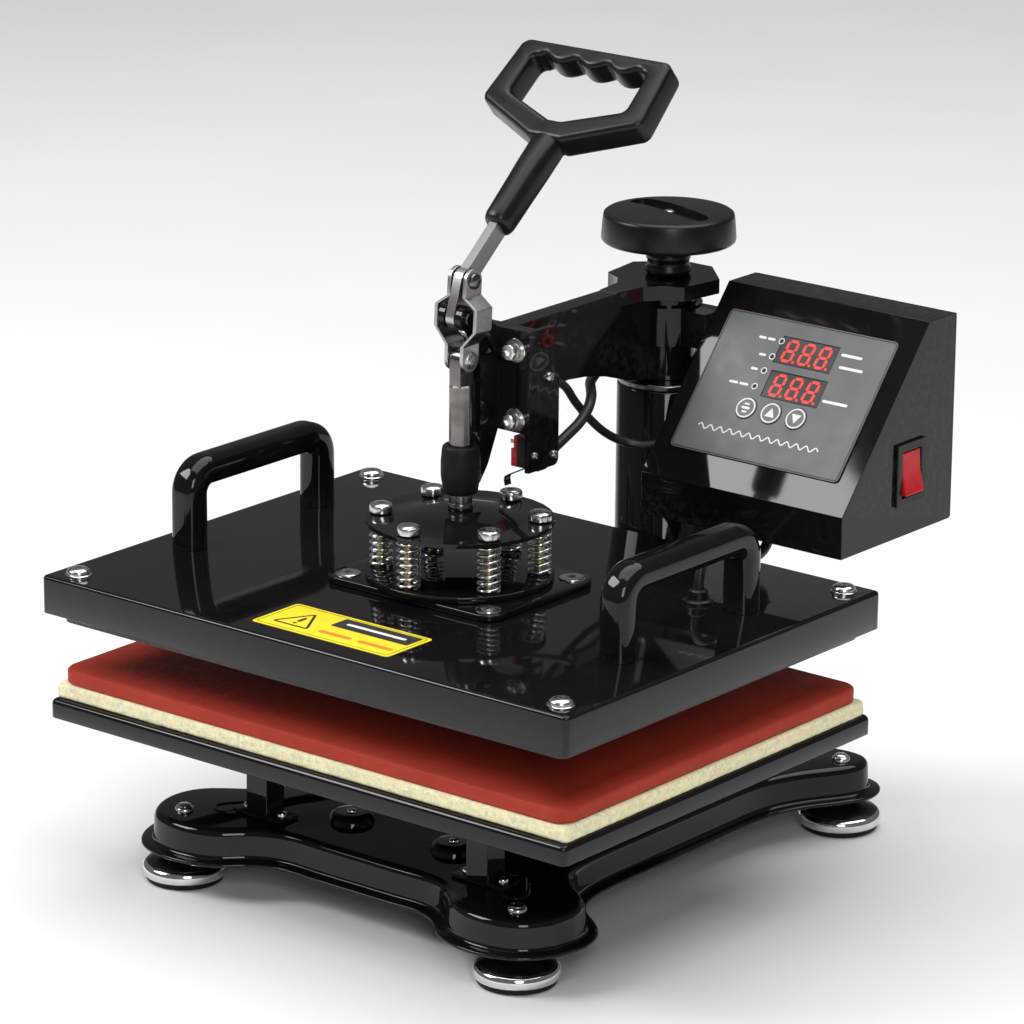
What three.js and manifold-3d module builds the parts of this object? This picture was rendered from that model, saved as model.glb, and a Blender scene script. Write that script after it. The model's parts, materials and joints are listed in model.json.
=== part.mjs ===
// Swing-away clamshell heat press with a spring head, drawn in millimetres, +Z up.
// Shapes are drawn with z = 0 on the housing top and y = 0 on the plunger axis,
// then moved so that the origin is the bottom centre of the bounding box.
import * as THREE from 'three';
import { mergeVertices } from 'three/addons/utils/BufferGeometryUtils.js';
import ManifoldModule from 'manifold-3d';

const wasm = await ManifoldModule();
wasm.setup();

// ---- driving dimensions (mm) ----
const SHIFT_Y = -51;
const SHIFT_Z = 186;
const GAP = 0.3;

const HOUSING = { w: 394, d: 296, h: 23, wall: 1.5, corner: 3, edge: 2.2 };
const HEAT_PLATE = { w: 377, d: 279, top: -16, bottom: -29 };
const FOAM = { w: 386, d: 284, top: -67.3, bottom: -76.1 };
const SILICONE = { w: 381, d: 281, top: -58, bottom: -67, corner: 11 };
const TRAY = { w: 389, d: 291, top: -76.4, bottom: -88.4, wall: 2.5, edge: 3.6 };
const LEAD_HOLE = { x: 128, y: 62 };
const CORNER_SCREW = { x: 181, y: 133 };
const MOUNT_PLATE = { w: 128, d: 100, bottom: 0.3, top: 4.3, corner: 10 };
const MOUNT_SCREW = { x: 53, y: 39 };
const DISC_R = 55.5;
const LOWER_DISC = { bottom: 4.6, top: 8.6 };
const UPPER_DISC = { bottom: 38, top: 40.5, dome: 4.5, domeR: 37 };
const SPRING = { ring: 47, r: 6.1, wire: 1.05, turns: 5 };
const BOLT_ANGLES = [30, 90, 150, 210, 270, 330];
const ROD_R = 7;
const ROD_SHOULDER = 121;
const GUIDE = { r: 11.7, bottom: 55.3, top: 84.5 };
const PIVOT = { y: -4, z: 162 };
const UPPER_RIVET = { y: 2.8, z: 182.92 };
const LOWER_RIVET = { y: 0, z: 136.31 };
const GRIP_TILT = 40;
const GRIP_BASE = { y: 33, z: 210 };
const POST = { y: 197, r: 30, bore: 27, top: 82 };
const BASE = { top: -143, brim: -164, sheet: 2.2, brimWidth: 7.5 };
const FEET = [['front_left', -127, -102], ['front_right', 127, -102],
  ['rear_left', -120, 222], ['rear_right', 120, 222]];
const FOOT = { r: 25.6, floor: -186 };
const LEG = { x: 84, yFront: -86, yRear: 84, top: -79.2 };
const BOX = { left: 37, right: 184, front: 125, back: 236, bottom: 21.3, top: 148 };
const BOX_SLOPE = { y0: 125, z0: 47, y1: 209, z1: 148 };
const PANEL = { x: 109.8, s: 67, w: 122.5, h: 94, t: 0.9 };
const HANDLE = { left: -168, right: 156, y: 8, half: 58, height: 55, thick: 18 };

// ---- materials ----
const look = (color, roughness, metalness) =>
  new THREE.MeshStandardMaterial({ color, roughness, metalness });
const MATERIAL = {
  black_paint: look(0x0c0c0e, 0.22, 0.1),
  steel: look(0xb9bcc0, 0.3, 1),
  zinc: look(0xc6c8c4, 0.38, 1),
  chrome: look(0xd8dade, 0.1, 1),
  aluminium: look(0x9a9da0, 0.45, 1),
  brass: look(0xb08d3c, 0.35, 1),
  red_silicone: look(0xa8322a, 0.85, 0),
  cream_foam: look(0xe6e2bd, 0.95, 0),
  wool: look(0xe8e4d8, 0.95, 0),
  black_plastic: look(0x1c1a1c, 0.42, 0),
  red_plastic: look(0xc8141c, 0.35, 0),
  panel_grey: look(0x66696c, 0.5, 0),
  display_dark: look(0x3a0606, 0.2, 0),
  cable: look(0x101012, 0.6, 0),
  board_green: look(0x1f5a34, 0.5, 0),
};

// ---- solid helpers ----
function toSolid(geometry) {
  const bare = geometry.clone();
  bare.deleteAttribute('normal');
  bare.deleteAttribute('uv');
  const welded = mergeVertices(bare, 1e-4);
  const mesh = new wasm.Mesh({
    numProp: 3,
    vertProperties: new Float32Array(welded.attributes.position.array),
    triVerts: new Uint32Array(welded.index.array),
  });
  mesh.merge();
  return new wasm.Manifold(mesh);
}

function toGeometry(solid) {
  const mesh = solid.getMesh();
  const geometry = new THREE.BufferGeometry();
  geometry.setAttribute('position', new THREE.BufferAttribute(mesh.vertProperties, 3));
  geometry.setIndex(new THREE.BufferAttribute(mesh.triVerts, 1));
  geometry.computeVertexNormals();
  return geometry;
}

function join(...geometries) {
  return toGeometry(geometries.map(toSolid).reduce((a, b) => a.add(b)));
}

function cut(geometry, ...tools) {
  return toGeometry(tools.map(toSolid).reduce((a, b) => a.subtract(b), toSolid(geometry)));
}

function box(x0, x1, y0, y1, z0, z1) {
  const g = new THREE.BoxGeometry(x1 - x0, y1 - y0, z1 - z0);
  return g.translate((x0 + x1) / 2, (y0 + y1) / 2, (z0 + z1) / 2);
}

function cylinder(r, z0, z1, x = 0, y = 0, segments = 20) {
  const g = new THREE.CylinderGeometry(r, r, z1 - z0, segments);
  return g.rotateX(Math.PI / 2).translate(x, y, (z0 + z1) / 2);
}

function pinX(r, x0, x1, y, z, segments = 16) {
  const g = new THREE.CylinderGeometry(r, r, x1 - x0, segments);
  return g.rotateZ(Math.PI / 2).translate((x0 + x1) / 2, y, z);
}

function pinY(r, y0, y1, x, z, segments = 16) {
  const g = new THREE.CylinderGeometry(r, r, y1 - y0, segments);
  return g.translate(x, (y0 + y1) / 2, z);
}

function lathe(profile, x = 0, y = 0, segments = 28) {
  const points = profile.map(([r, z]) => new THREE.Vector2(r, z));
  return new THREE.LatheGeometry(points, segments).rotateX(Math.PI / 2).translate(x, y, 0);
}

function polygon(points) {
  return new THREE.Shape(points.map(([a, b]) => new THREE.Vector2(a, b)));
}

function prismZ(points, z0, z1) {
  const options = { depth: z1 - z0, bevelEnabled: false, steps: 1 };
  return new THREE.ExtrudeGeometry(polygon(points), options).translate(0, 0, z0);
}

// points are (y, z) pairs, extruded along +X
function prismX(points, x0, x1) {
  const options = { depth: x1 - x0, bevelEnabled: false, steps: 1 };
  const g = new THREE.ExtrudeGeometry(polygon(points), options);
  const turn = new THREE.Matrix4().set(0, 0, 1, x0, 1, 0, 0, 0, 0, 1, 0, 0, 0, 0, 0, 1);
  return g.applyMatrix4(turn);
}

function arc(cx, cy, r, a0, a1, n) {
  return Array.from({ length: n + 1 }, (_, i) => {
    const a = THREE.MathUtils.degToRad(a0 + ((a1 - a0) * i) / n);
    return [cx + r * Math.cos(a), cy + r * Math.sin(a)];
  });
}

function roundedRect(w, d, r, n = 4) {
  const x = w / 2 - r;
  const y = d / 2 - r;
  return [...arc(x, y, r, 0, 90, n), ...arc(-x, y, r, 90, 180, n),
    ...arc(-x, -y, r, 180, 270, n), ...arc(x, -y, r, 270, 360, n)];
}

function slab(w, d, r, z0, z1, bevel) {
  const shape = polygon(roundedRect(w - 2 * bevel, d - 2 * bevel, r, 4));
  const options = { depth: z1 - z0 - 2 * bevel, bevelEnabled: true, bevelSize: bevel,
    bevelThickness: bevel, bevelSegments: 2, steps: 1 };
  return new THREE.ExtrudeGeometry(shape, options).translate(0, 0, z0 + bevel);
}

function capsule(y0, z0, y1, z1, r, x0, x1) {
  const a = THREE.MathUtils.radToDeg(Math.atan2(z1 - z0, y1 - y0));
  return prismX([...arc(y0, z0, r, a + 90, a + 270, 8), ...arc(y1, z1, r, a - 90, a + 90, 8)],
    x0, x1);
}

class SmoothPath extends THREE.Curve {
  constructor(points) {
    super();
    this.spline = new THREE.CatmullRomCurve3(points.map((p) => new THREE.Vector3(...p)),
      false, 'centripetal');
  }

  getPoint(t, target = new THREE.Vector3()) {
    return this.spline.getPoint(t, target);
  }
}

function ring(r, n) {
  return arc(0, 0, r, 0, 360, n).slice(0, n);
}

function tube(points, r, steps, sides = 8) {
  const options = { steps, extrudePath: new SmoothPath(points), bevelEnabled: false };
  return new THREE.ExtrudeGeometry(polygon(ring(r, sides)), options);
}

const slopeAngle = Math.atan2(BOX_SLOPE.z1 - BOX_SLOPE.z0, BOX_SLOPE.y1 - BOX_SLOPE.y0);

// local x along the box, y up the slope, z out of the sloped face
function onSlope(geometry, x = 0, s = 0, out = 0) {
  return geometry.translate(x, s, out).rotateX(slopeAngle)
    .translate(0, BOX_SLOPE.y0, BOX_SLOPE.z0);
}

const mirrorPairs = (x, y) => [[-x, -y], [x, -y], [x, y], [-x, y]];

// ---- base, feet, post ----
const BASE_HALF = [[0, -102], [28, -102], [50, -101.5], [62, -104], [72, -110.5], [83, -121],
  [95, -127], [110, -130], [126, -129], [141, -123.5], [152, -113], [159, -99], [161, -84],
  [158, -69], [151, -57.5], [140, -48], [129, -40], [120.5, -29], [116, -15], [114, 2],
  [113.5, 60], [113.5, 110], [114, 150], [117, 168], [124, 185], [133, 200], [140, 213],
  [142.5, 226], [139, 238], [131, 246.5], [119, 250], [104, 249], [88, 244.5], [66, 241],
  [30, 240], [0, 240]];

function baseOutline() {
  const left = BASE_HALF.slice(1, -1).reverse().map(([x, y]) => [-x, y]);
  return [...BASE_HALF, ...left];
}

function inset(points, distance) {
  const count = points.length;
  return points.map(([x, y], i) => {
    const [ax, ay] = points[(i + count - 1) % count];
    const [bx, by] = points[(i + 1) % count];
    const length = Math.hypot(bx - ax, by - ay);
    return [x - ((by - ay) / length) * distance, y + ((bx - ax) / length) * distance];
  });
}

function base() {
  const brim = prismZ(baseOutline(), BASE.brim, BASE.brim + BASE.sheet);
  const body = prismZ(inset(baseOutline(), BASE.brimWidth), BASE.brim, BASE.top);
  const hollow = prismZ(inset(baseOutline(), BASE.brimWidth + BASE.sheet), BASE.brim - 1,
    BASE.top - BASE.sheet);
  const boss = (x) => lathe([[0, BASE.top - 1], [14, BASE.top - 1], [14, BASE.top],
    [12.5, BASE.top + 5], [11, BASE.top + 6], [0, BASE.top + 6]], x, -52, 20);
  const slot = (side) => prismZ(roundedRect(26, 11, 5.4, 4), BASE.top - 1, BASE.top + 1)
    .rotateZ(side * -0.9).translate(side * -107, -78, 0);
  const holes = FEET.map(([, x, y]) => cylinder(4.6, BASE.brim, BASE.top + 1, x, y, 12));
  return cut(join(brim, body, boss(39), boss(-39)), hollow, slot(1), slot(-1), ...holes);
}

function foot(x, y) {
  const f = FOOT.floor;
  return lathe([[0, f], [23.4, f], [23.4, f + 4.4], [FOOT.r, f + 7], [FOOT.r, f + 9.4],
    [23.6, f + 12], [15, f + 16.4], [4, f + 18.8], [4, BASE.top - 8], [8, BASE.top - 8],
    [8, BASE.top - 2.5], [4.2, BASE.top - 2.5], [4.2, BASE.top + 3.4], [0, BASE.top + 3.4]],
  x, y, 14);
}

function post() {
  const foot = BASE.top + GAP;
  return lathe([[POST.bore, foot], [48, foot], [48, foot + 6], [POST.r + 0.8, foot + 8],
    [POST.r + 0.8, -19], [POST.r, -18], [POST.r, POST.top], [POST.bore, POST.top],
    [POST.bore, foot]], 0, POST.y, 30);
}

function liftNut() {
  return lathe([[6.4, -84], [26.6, -84], [26.6, -62], [6.4, -62], [6.4, -84]], 0, POST.y, 24);
}

function pivotShaft() {
  return lathe([[6.4, -20], [26.6, -20], [26.6, POST.top + GAP], [POST.r, POST.top + GAP],
    [POST.r, 85.2], [29, 86], [12, 86], [12, 146], [6.4, 146], [6.4, -20]], 0, POST.y, 24);
}

// ---- lower platen ----
function tray() {
  const inner = box(-TRAY.w / 2 + TRAY.wall, TRAY.w / 2 - TRAY.wall, -TRAY.d / 2 + TRAY.wall,
    TRAY.d / 2 - TRAY.wall, TRAY.bottom - 5, TRAY.top - TRAY.wall);
  const below = box(-TRAY.w, TRAY.w, -TRAY.d, TRAY.d, TRAY.bottom - 9, TRAY.bottom);
  return cut(slab(TRAY.w, TRAY.d, 2, TRAY.bottom - 8, TRAY.top, TRAY.edge), below, inner);
}

function platenLeg(x, y, side) {
  const bottom = BASE.top + GAP;
  const far = y + side * 16;
  const [ya, yb] = [Math.min(y, far), Math.max(y, far)];
  const web = box(x - 8, x + 8, ...[y, y + side * 2.5].sort((a, b) => a - b), bottom, LEG.top);
  const walls = [box(x - 8, x - 5.6, ya, yb, bottom, LEG.top),
    box(x + 5.6, x + 8, ya, yb, bottom, LEG.top)];
  const flanges = [box(x - 19, x - 7, ya, yb, bottom, bottom + 2.4),
    box(x + 7, x + 19, ya, yb, bottom, bottom + 2.4),
    box(x - 19, x + 19, ya, yb, LEG.top - 2.4, LEG.top)];
  return join(web, ...walls, ...flanges);
}

function rearSupport() {
  const bottom = BASE.top + GAP;
  const top = LEG.top;
  const [y0, y1] = [LEG.yRear, LEG.yRear + 22];
  const web = box(-46, 46, y1 - 3, y1, bottom, top);
  const flanges = [box(-60, 60, y0, y1, bottom, bottom + 3), box(-60, 60, y0, y1, top - 3, top)];
  const ribs = [box(-46, -43, y0, y1, bottom, top), box(43, 46, y0, y1, bottom, top)];
  return join(web, ...flanges, ...ribs);
}

// ---- head: housing, plates, springs ----
function housing() {
  const { w, d, h, wall, corner, edge } = HOUSING;
  const outer = slab(w, d, corner, -h - 6, 0, edge);
  const inner = box(-w / 2 + wall, w / 2 - wall, -d / 2 + wall, d / 2 - wall, -h - 7, -wall);
  const below = box(-w, w, -d, d, -h - 8, -h);
  const leadHole = cylinder(4, -3, 1, LEAD_HOLE.x, LEAD_HOLE.y, 12);
  return cut(outer, below, inner, leadHole);
}

function insulation() {
  const { w, d } = HOUSING;
  const blanket = box(-w / 2 + 2, w / 2 - 2, -d / 2 + 2, d / 2 - 2, -15.7, -1.8);
  const spots = [...mirrorPairs(CORNER_SCREW.x, CORNER_SCREW.y),
    ...mirrorPairs(MOUNT_SCREW.x, MOUNT_SCREW.y)];
  const holes = spots.map(([x, y]) => cylinder(7.8, -17, 0, x, y, 10));
  return cut(blanket, cylinder(7, -17, 0, LEAD_HOLE.x, LEAD_HOLE.y, 12), ...holes);
}

function heatPlate() {
  const { w, d, top, bottom } = HEAT_PLATE;
  const spots = [...mirrorPairs(CORNER_SCREW.x, CORNER_SCREW.y),
    ...mirrorPairs(MOUNT_SCREW.x, MOUNT_SCREW.y)];
  const bosses = spots.map(([x, y]) => cylinder(7.2, top - 1, -1.8, x, y, 10));
  return join(slab(w, d, 5, bottom, top, 0.8), ...bosses);
}

function mountPlate() {
  const { w, d, bottom, top, corner } = MOUNT_PLATE;
  return prismZ(roundedRect(w, d, corner, 5), bottom, top);
}

const boltSpots = BOLT_ANGLES.map((a) => {
  const t = THREE.MathUtils.degToRad(a);
  return [SPRING.ring * Math.cos(t), SPRING.ring * Math.sin(t)];
});

// the spring bolts thread into the lower disc and are one rigid piece with it
function lowerDisc() {
  const seat = UPPER_DISC.top + GAP;
  const bolts = boltSpots.map(([x, y]) => lathe([[0, LOWER_DISC.bottom + 1],
    [3, LOWER_DISC.bottom + 1], [3, seat], [6.9, seat], [6.9, seat + 5.4], [6.2, seat + 6.2],
    [0, seat + 6.2]], x, y, 12));
  return join(cylinder(DISC_R, LOWER_DISC.bottom, LOWER_DISC.top, 0, 0, 32), ...bolts);
}

function upperDisc() {
  const { bottom, top, dome, domeR } = UPPER_DISC;
  const disc = lathe([[7.4, bottom], [DISC_R, bottom], [DISC_R, top], [domeR, top],
    [domeR * 0.8, top + dome * 0.55], [domeR * 0.5, top + dome * 0.88], [12, top + dome],
    [7.4, top + dome], [7.4, bottom]], 0, 0, 32);
  const holes = boltSpots.map(([x, y]) => cylinder(3.4, bottom - 1, top + 3, x, y, 8));
  return cut(disc, ...holes);
}

class Helix extends THREE.Curve {
  constructor(x, y, r, z0, z1, turns) {
    super();
    Object.assign(this, { x, y, r, z0, z1, turns });
  }

  getPoint(t, target = new THREE.Vector3()) {
    const a = t * this.turns * 2 * Math.PI;
    return target.set(this.x + this.r * Math.cos(a), this.y + this.r * Math.sin(a),
      this.z0 + (this.z1 - this.z0) * t);
  }
}

function spring(x, y) {
  const z0 = LOWER_DISC.top + GAP + SPRING.wire + 0.3;
  const z1 = UPPER_DISC.bottom - GAP - SPRING.wire - 0.3;
  const path = new Helix(x, y, SPRING.r, z0, z1, SPRING.turns);
  const options = { steps: SPRING.turns * 6, extrudePath: path, bevelEnabled: false };
  return new THREE.ExtrudeGeometry(polygon(ring(SPRING.wire, 4)), options);
}

function grabHandle(x) {
  const { y, half, height, thick } = HANDLE;
  const r = thick / 2;
  const reach = 13;
  const outer = [[y - half, GAP], ...arc(y - half + reach, height - r - reach, reach, 180, 90, 4),
    ...arc(y + half - reach, height - r - reach, reach, 90, 0, 4), [y + half, GAP]];
  const path = new THREE.CurvePath();
  for (let i = 1; i < outer.length; i += 1) {
    const [a, b] = [outer[i - 1], outer[i]];
    path.add(new THREE.LineCurve3(new THREE.Vector3(x, ...a), new THREE.Vector3(x, ...b)));
  }
  return new THREE.ExtrudeGeometry(polygon(roundedRect(thick, thick + 2, 5.5, 1)),
    { steps: 24, extrudePath: path, bevelEnabled: false });
}

// ---- plunger and toggle ----
function plunger() {
  const rod = lathe([[0, UPPER_DISC.bottom + 0.6], [ROD_R, UPPER_DISC.bottom + 0.6],
    [ROD_R, ROD_SHOULDER - 1], [ROD_R - 1, ROD_SHOULDER], [0, ROD_SHOULDER]], 0, 0, 24);
  const tongue = capsule(0, ROD_SHOULDER - 4, LOWER_RIVET.y, LOWER_RIVET.z, 5.8, -4.1, 4.1);
  return join(rod, tongue);
}

function guideSleeve() {
  const { r, bottom, top } = GUIDE;
  return lathe([[ROD_R + 0.4, bottom], [9.6, bottom], [10.6, bottom + 3], [r, bottom + 9],
    [r, top - 9], [10.8, top - 2], [9.8, top], [ROD_R + 0.4, top], [ROD_R + 0.4, bottom]],
  0, 0, 24);
}

function rivetHead(side, x, y, z) {
  const points = [[0, 0], [5, 0], [4.6, 1.2], [3, 2.2], [0, 2.4]];
  const head = new THREE.LatheGeometry(points.map((p) => new THREE.Vector2(...p)), 14);
  return head.rotateZ(side * -Math.PI / 2).translate(side * x, y, z);
}

// one bulged plate with the short rivet at its lower end, side is -1 or 1
function linkPlate(side) {
  const h = UPPER_RIVET.z;
  const l = LOWER_RIVET.z;
  const inner = [[4.5, h + 7.5], [4.5, h - 9], [13.2, h - 15], [13.2, h - 28], [4.5, l + 9],
    [4.5, l - 7.5]];
  const outer = inner.map(([x, z]) => [x + 2.5, z]).reverse();
  const shape = polygon([...inner, ...outer].map(([x, z]) => [side * x, z]));
  const strip = new THREE.ExtrudeGeometry(shape, { depth: 30, bevelEnabled: false })
    .rotateX(Math.PI / 2).translate(0, 16, 0);
  const profile = capsule(UPPER_RIVET.y, h, LOWER_RIVET.y, l, 7.4, -20, 20);
  const hole = pinX(3.3, side < 0 ? -9 : 3, side < 0 ? -3 : 9, UPPER_RIVET.y, h, 12);
  const plate = toSolid(strip).intersect(toSolid(profile)).subtract(toSolid(hole));
  return join(toGeometry(plate), rivetHead(side, 6.9, LOWER_RIVET.y, l));
}

function linkPin() {
  const { y, z } = UPPER_RIVET;
  return join(pinX(3, -7.5, 7.5, y, z, 12), rivetHead(1, 7.3, y, z), rivetHead(-1, 7.3, y, z));
}

function lever() {
  const t = THREE.MathUtils.degToRad(GRIP_TILT);
  const end = [UPPER_RIVET.y + 66 * Math.cos(t), UPPER_RIVET.z + 66 * Math.sin(t)];
  const bar = join(capsule(PIVOT.y, PIVOT.z, UPPER_RIVET.y, UPPER_RIVET.z, 7, -3, 3),
    capsule(UPPER_RIVET.y, UPPER_RIVET.z, ...end, 5.6, -3, 3));
  return cut(bar, pinX(3.3, -4, 4, PIVOT.y, PIVOT.z, 12),
    pinX(3.3, -4, 4, UPPER_RIVET.y, UPPER_RIVET.z, 12));
}

// grip drawn with x across, y along the handle, z out of the ring face
function gripRing() {
  const outer = [[-12, 59.5], [12, 59.5], [57, 79], [59, 83], [55.5, 123.5], [51.5, 127.5],
    [-51.5, 127.5], [-55.5, 123.5], [-59, 83], [-57, 79]];
  const window = [[-43, 88], [-5, 73.5], [5, 73.5], [43, 88], [42, 116.5]];
  const scallops = Array.from({ length: 15 }, (_, i) => {
    const x = 36 - (72 * i) / 14;
    return [x, 116.5 - 2.4 * Math.cos((x / 23) * 2 * Math.PI)];
  });
  const shape = polygon(outer);
  const edge = [...window, ...scallops, [-42, 116.5]];
  shape.holes.push(new THREE.Path(edge.map(([a, b]) => new THREE.Vector2(a, b))));
  const options = { depth: 13, bevelEnabled: true, bevelThickness: 2.5, bevelSize: 2,
    bevelOffset: -2, bevelSegments: 2, steps: 1 };
  return new THREE.ExtrudeGeometry(shape, options).translate(0, 0, -6.5);
}

function gripNeck() {
  const steps = [[-2, 7.4, 8.6], [1, 8.4, 9.6], [20, 8.8, 10], [48, 9.8, 10.4], [65, 10.8, 8.8]];
  const sections = steps.slice(1).map(([s1, x1, n1], i) => {
    const [s0, x0] = steps[i];
    const part = new THREE.CylinderGeometry(1, x0 / x1, s1 - s0, 16);
    return part.scale(x1, 1, n1).translate(0, (s0 + s1) / 2, 0);
  });
  return join(...sections);
}

function grip() {
  const t = THREE.MathUtils.degToRad(GRIP_TILT);
  const body = join(gripRing(), gripNeck()).rotateX(t).translate(0, GRIP_BASE.y, GRIP_BASE.z);
  const end = [UPPER_RIVET.y + 66.6 * Math.cos(t), UPPER_RIVET.z + 66.6 * Math.sin(t)];
  const socket = capsule(UPPER_RIVET.y, UPPER_RIVET.z, ...end, 6, -3.4, 3.4);
  return cut(body, socket);
}

// ---- swing arm, bracket, knob ----
function arm() {
  const web = prismX([[44, 148.5], [44, 90], [58, 97], [75, 103], [92, 105], [108, 103.5],
    [128, 99.5], [150, 92.5], [182, 86.3], [190, 86.3], [190, 148.5]], -6.5, 6.5);
  const plate = prismZ([[6.5, 138], [9, 158], [16, 168], [29, 175], [33, 205], [11, 227],
    [-11, 227], [-33, 205], [-29, 175], [-16, 168], [-9, 158], [-6.5, 138]], 140, 149);
  const tHead = box(-25.6, 25.6, 30.4, 44.5, 88, 148.5);
  const hub = cylinder(17.5, 86.3, 148.9, 0, POST.y, 28);
  const bore = cylinder(12.4, 80, 152, 0, POST.y, 24);
  return cut(join(web, plate, tHead, hub), bore);
}

function bracket() {
  const front = box(-29, 29, 27, 30, 90, 151);
  const flange = [[27, 151], [27, 66], ...arc(51, 70, 4, 270, 360, 3), [55, 120], [50, 125],
    [50, 151]];
  const sides = [prismX(flange, 26, 29), prismX(flange, -29, -26)];
  const lugSide = [...arc(PIVOT.y, PIVOT.z, 7.5, 60, 270, 8), [9, 153], [28, 130], [28, 149]];
  const lugs = [prismX(lugSide, 4.1, 8.4), prismX(lugSide, -8.4, -4.1)];
  const neck = prismX([[10.5, 60], [10.5, 132], [28, 132], [28, 92], [18, 70]], -6, 6);
  const pinHole = pinX(3.3, -10, 10, PIVOT.y, PIVOT.z, 12);
  const sleeveRoom = cylinder(GUIDE.r + GAP, 50, 90, 0, 0, 28);
  return cut(join(front, ...sides, ...lugs, neck), pinHole, sleeveRoom);
}

function pivotPin() {
  return join(pinX(3, -9, 9, PIVOT.y, PIVOT.z, 12), pinX(4.4, 8.7, 10.8, PIVOT.y, PIVOT.z, 12),
    pinX(4.4, -10.8, -8.7, PIVOT.y, PIVOT.z, 12));
}

function switchBody() {
  return join(box(4, 24.5, 41, 50.5, 63, 74), box(6, 22.5, 41.8, 49.7, 73.5, 82));
}

function switchLever() {
  const blade = new THREE.BoxGeometry(17, 4.4, 0.9).rotateY(-0.62).translate(4.9, 46, 57.2);
  return join(blade, pinY(2.6, 43.2, 48.8, -2.6, 51.2, 12), pinY(1.4, 43.4, 48.6, 10.6, 61, 8));
}

function knob() {
  const axis = [[0, 170], [6.3, 170], [6.3, 149.3], [12.6, 149.3], [13.8, 151], [13.8, 154],
    [12.8, 155], [12.8, 168.7], [38, 168.7], [41, 170.7], [39.8, 185.9], [38.4, 187.2], [20, 189.3],
    [0, 190.1]];
  const slot = prismZ(roundedRect(66, 15, 7.4, 5), 181.3, 192).rotateZ(-0.24)
    .translate(0, POST.y, 0);
  return cut(lathe(axis, 0, POST.y, 24), slot);
}

function liftScrew() {
  return lathe([[0, -110], [6, -110], [6, -24], [11, -24], [11, -20.3], [6, -20.3], [6, 169.7],
    [0, 169.7]], 0, POST.y, 16);
}

// ---- control box ----
function boxProfile(off = 0) {
  const { front, back, bottom, top } = BOX;
  return [[front + off, bottom + off], [back + (off ? 3 : 0), bottom + off],
    [back + (off ? 3 : 0), top - off], [BOX_SLOPE.y1 + off * 0.5, top - off],
    [front + off, BOX_SLOPE.z0 + off * 0.4]];
}

function controlBox() {
  const shell = prismX(boxProfile(), BOX.left, BOX.right);
  const hollow = prismX(boxProfile(1.6), BOX.left + 1.6, BOX.right - 1.6);
  const rockerHole = box(BOX.right - 4, BOX.right + 2, 180, 204, 43.5, 76.5);
  const leadHole = cylinder(4.4, 18, 26, 119, 145, 12);
  const sideHoles = [pinX(4.4, BOX.left - 3, BOX.left + 4, 150, 58, 12),
    pinX(5, BOX.left - 3, BOX.left + 4, 222, 88, 12)];
  const keys = BUTTONS.map(([, x]) => onSlope(cylinder(7.4, -4, 4, 0, 0, 14), x, BUTTON_S));
  return cut(shell, hollow, rockerHole, leadHole, ...sideHoles, ...keys);
}

const BUTTONS = [['set', 89.2], ['up', 107.4], ['down', 125.6]];
const BUTTON_S = 53.2;
const DISPLAYS = [['temperature', 113.2, 94.4], ['time', 115.2, 71.6]];

function panel() {
  const sheet = prismZ(roundedRect(PANEL.w, PANEL.h, 3, 3), 0, PANEL.t)
    .translate(PANEL.x, PANEL.s, 0);
  const windows = DISPLAYS.map(([, x, s]) => box(x - 20.6, x + 20.6, s - 9, s + 9, -1, 2));
  const keys = BUTTONS.map(([, x]) => cylinder(7.4, -1, 3, x, BUTTON_S, 14));
  return onSlope(cut(sheet, ...windows, ...keys), 0, 0, GAP);
}

function display(x, s) {
  return onSlope(box(x - 20.2, x + 20.2, s - 8.6, s + 8.6, 0, 0.7), 0, 0, GAP);
}

function button(x) {
  const cap = join(cylinder(7, -1.6, 1.7, 0, 0, 16), cylinder(3.8, -6, 0, 0, 0, 10));
  return onSlope(cap, x, BUTTON_S, GAP);
}

function rockerFrame() {
  const flange = box(BOX.right + GAP, BOX.right + 2.2, 177.5, 206.5, 41, 79);
  const sleeve = box(BOX.right - 14, BOX.right + 1, 180.4, 203.6, 43.9, 76.1);
  const room = box(BOX.right - 11, BOX.right + 4, 182.4, 201.6, 46, 74);
  return cut(join(flange, sleeve), room);
}

function rocker() {
  const x = BOX.right;
  const face = new THREE.ExtrudeGeometry(polygon([[x - 8, 50], [x - 8, 70], [x + 1.4, 73.4],
    [x + 2.2, 60], [x + 5.2, 47.5], [x + 1.6, 47.3]]), { depth: 18.4, bevelEnabled: false });
  return face.rotateX(Math.PI / 2).translate(0, 201.2, 0);
}

function boxBack() {
  const plate = box(BOX.left + 0.4, BOX.right - 0.4, BOX.back + GAP, BOX.back + 1.8,
    BOX.bottom + 0.4, BOX.top - 0.4);
  const inletHole = box(124, 154, BOX.back - 2, BOX.back + 4, 48, 72);
  return cut(plate, inletHole);
}

function boxStrap() {
  const hubRoom = cylinder(17.8, 100, 140, 0, POST.y, 24);
  const hubRing = cylinder(21.5, 108, 132, 0, POST.y, 24);
  const tongue = box(18, BOX.left - GAP, POST.y - 11, POST.y + 11, 109, 131);
  const webRoom = box(-6.9, 6.9, 150, POST.y, 100, 140);
  return cut(join(hubRing, tongue), hubRoom, webRoom);
}

function powerInlet() {
  const y = BOX.back + 1.8 + GAP;
  const body = join(box(124.5, 153.5, BOX.back - 16, y + 1, 48.5, 71.5),
    box(121, 157, y, y + 2.6, 45.5, 74.5));
  return cut(body, box(127.5, 150.5, BOX.back - 10, y + 4, 51, 69));
}

function circuitBoard() {
  const board = new THREE.BoxGeometry(112, 78, 1.6).translate(PANEL.x, PANEL.s, -11.2);
  const relay = new THREE.BoxGeometry(24, 16, 14).translate(PANEL.x + 26, PANEL.s - 22, -18.4);
  return onSlope(join(board, relay));
}

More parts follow.
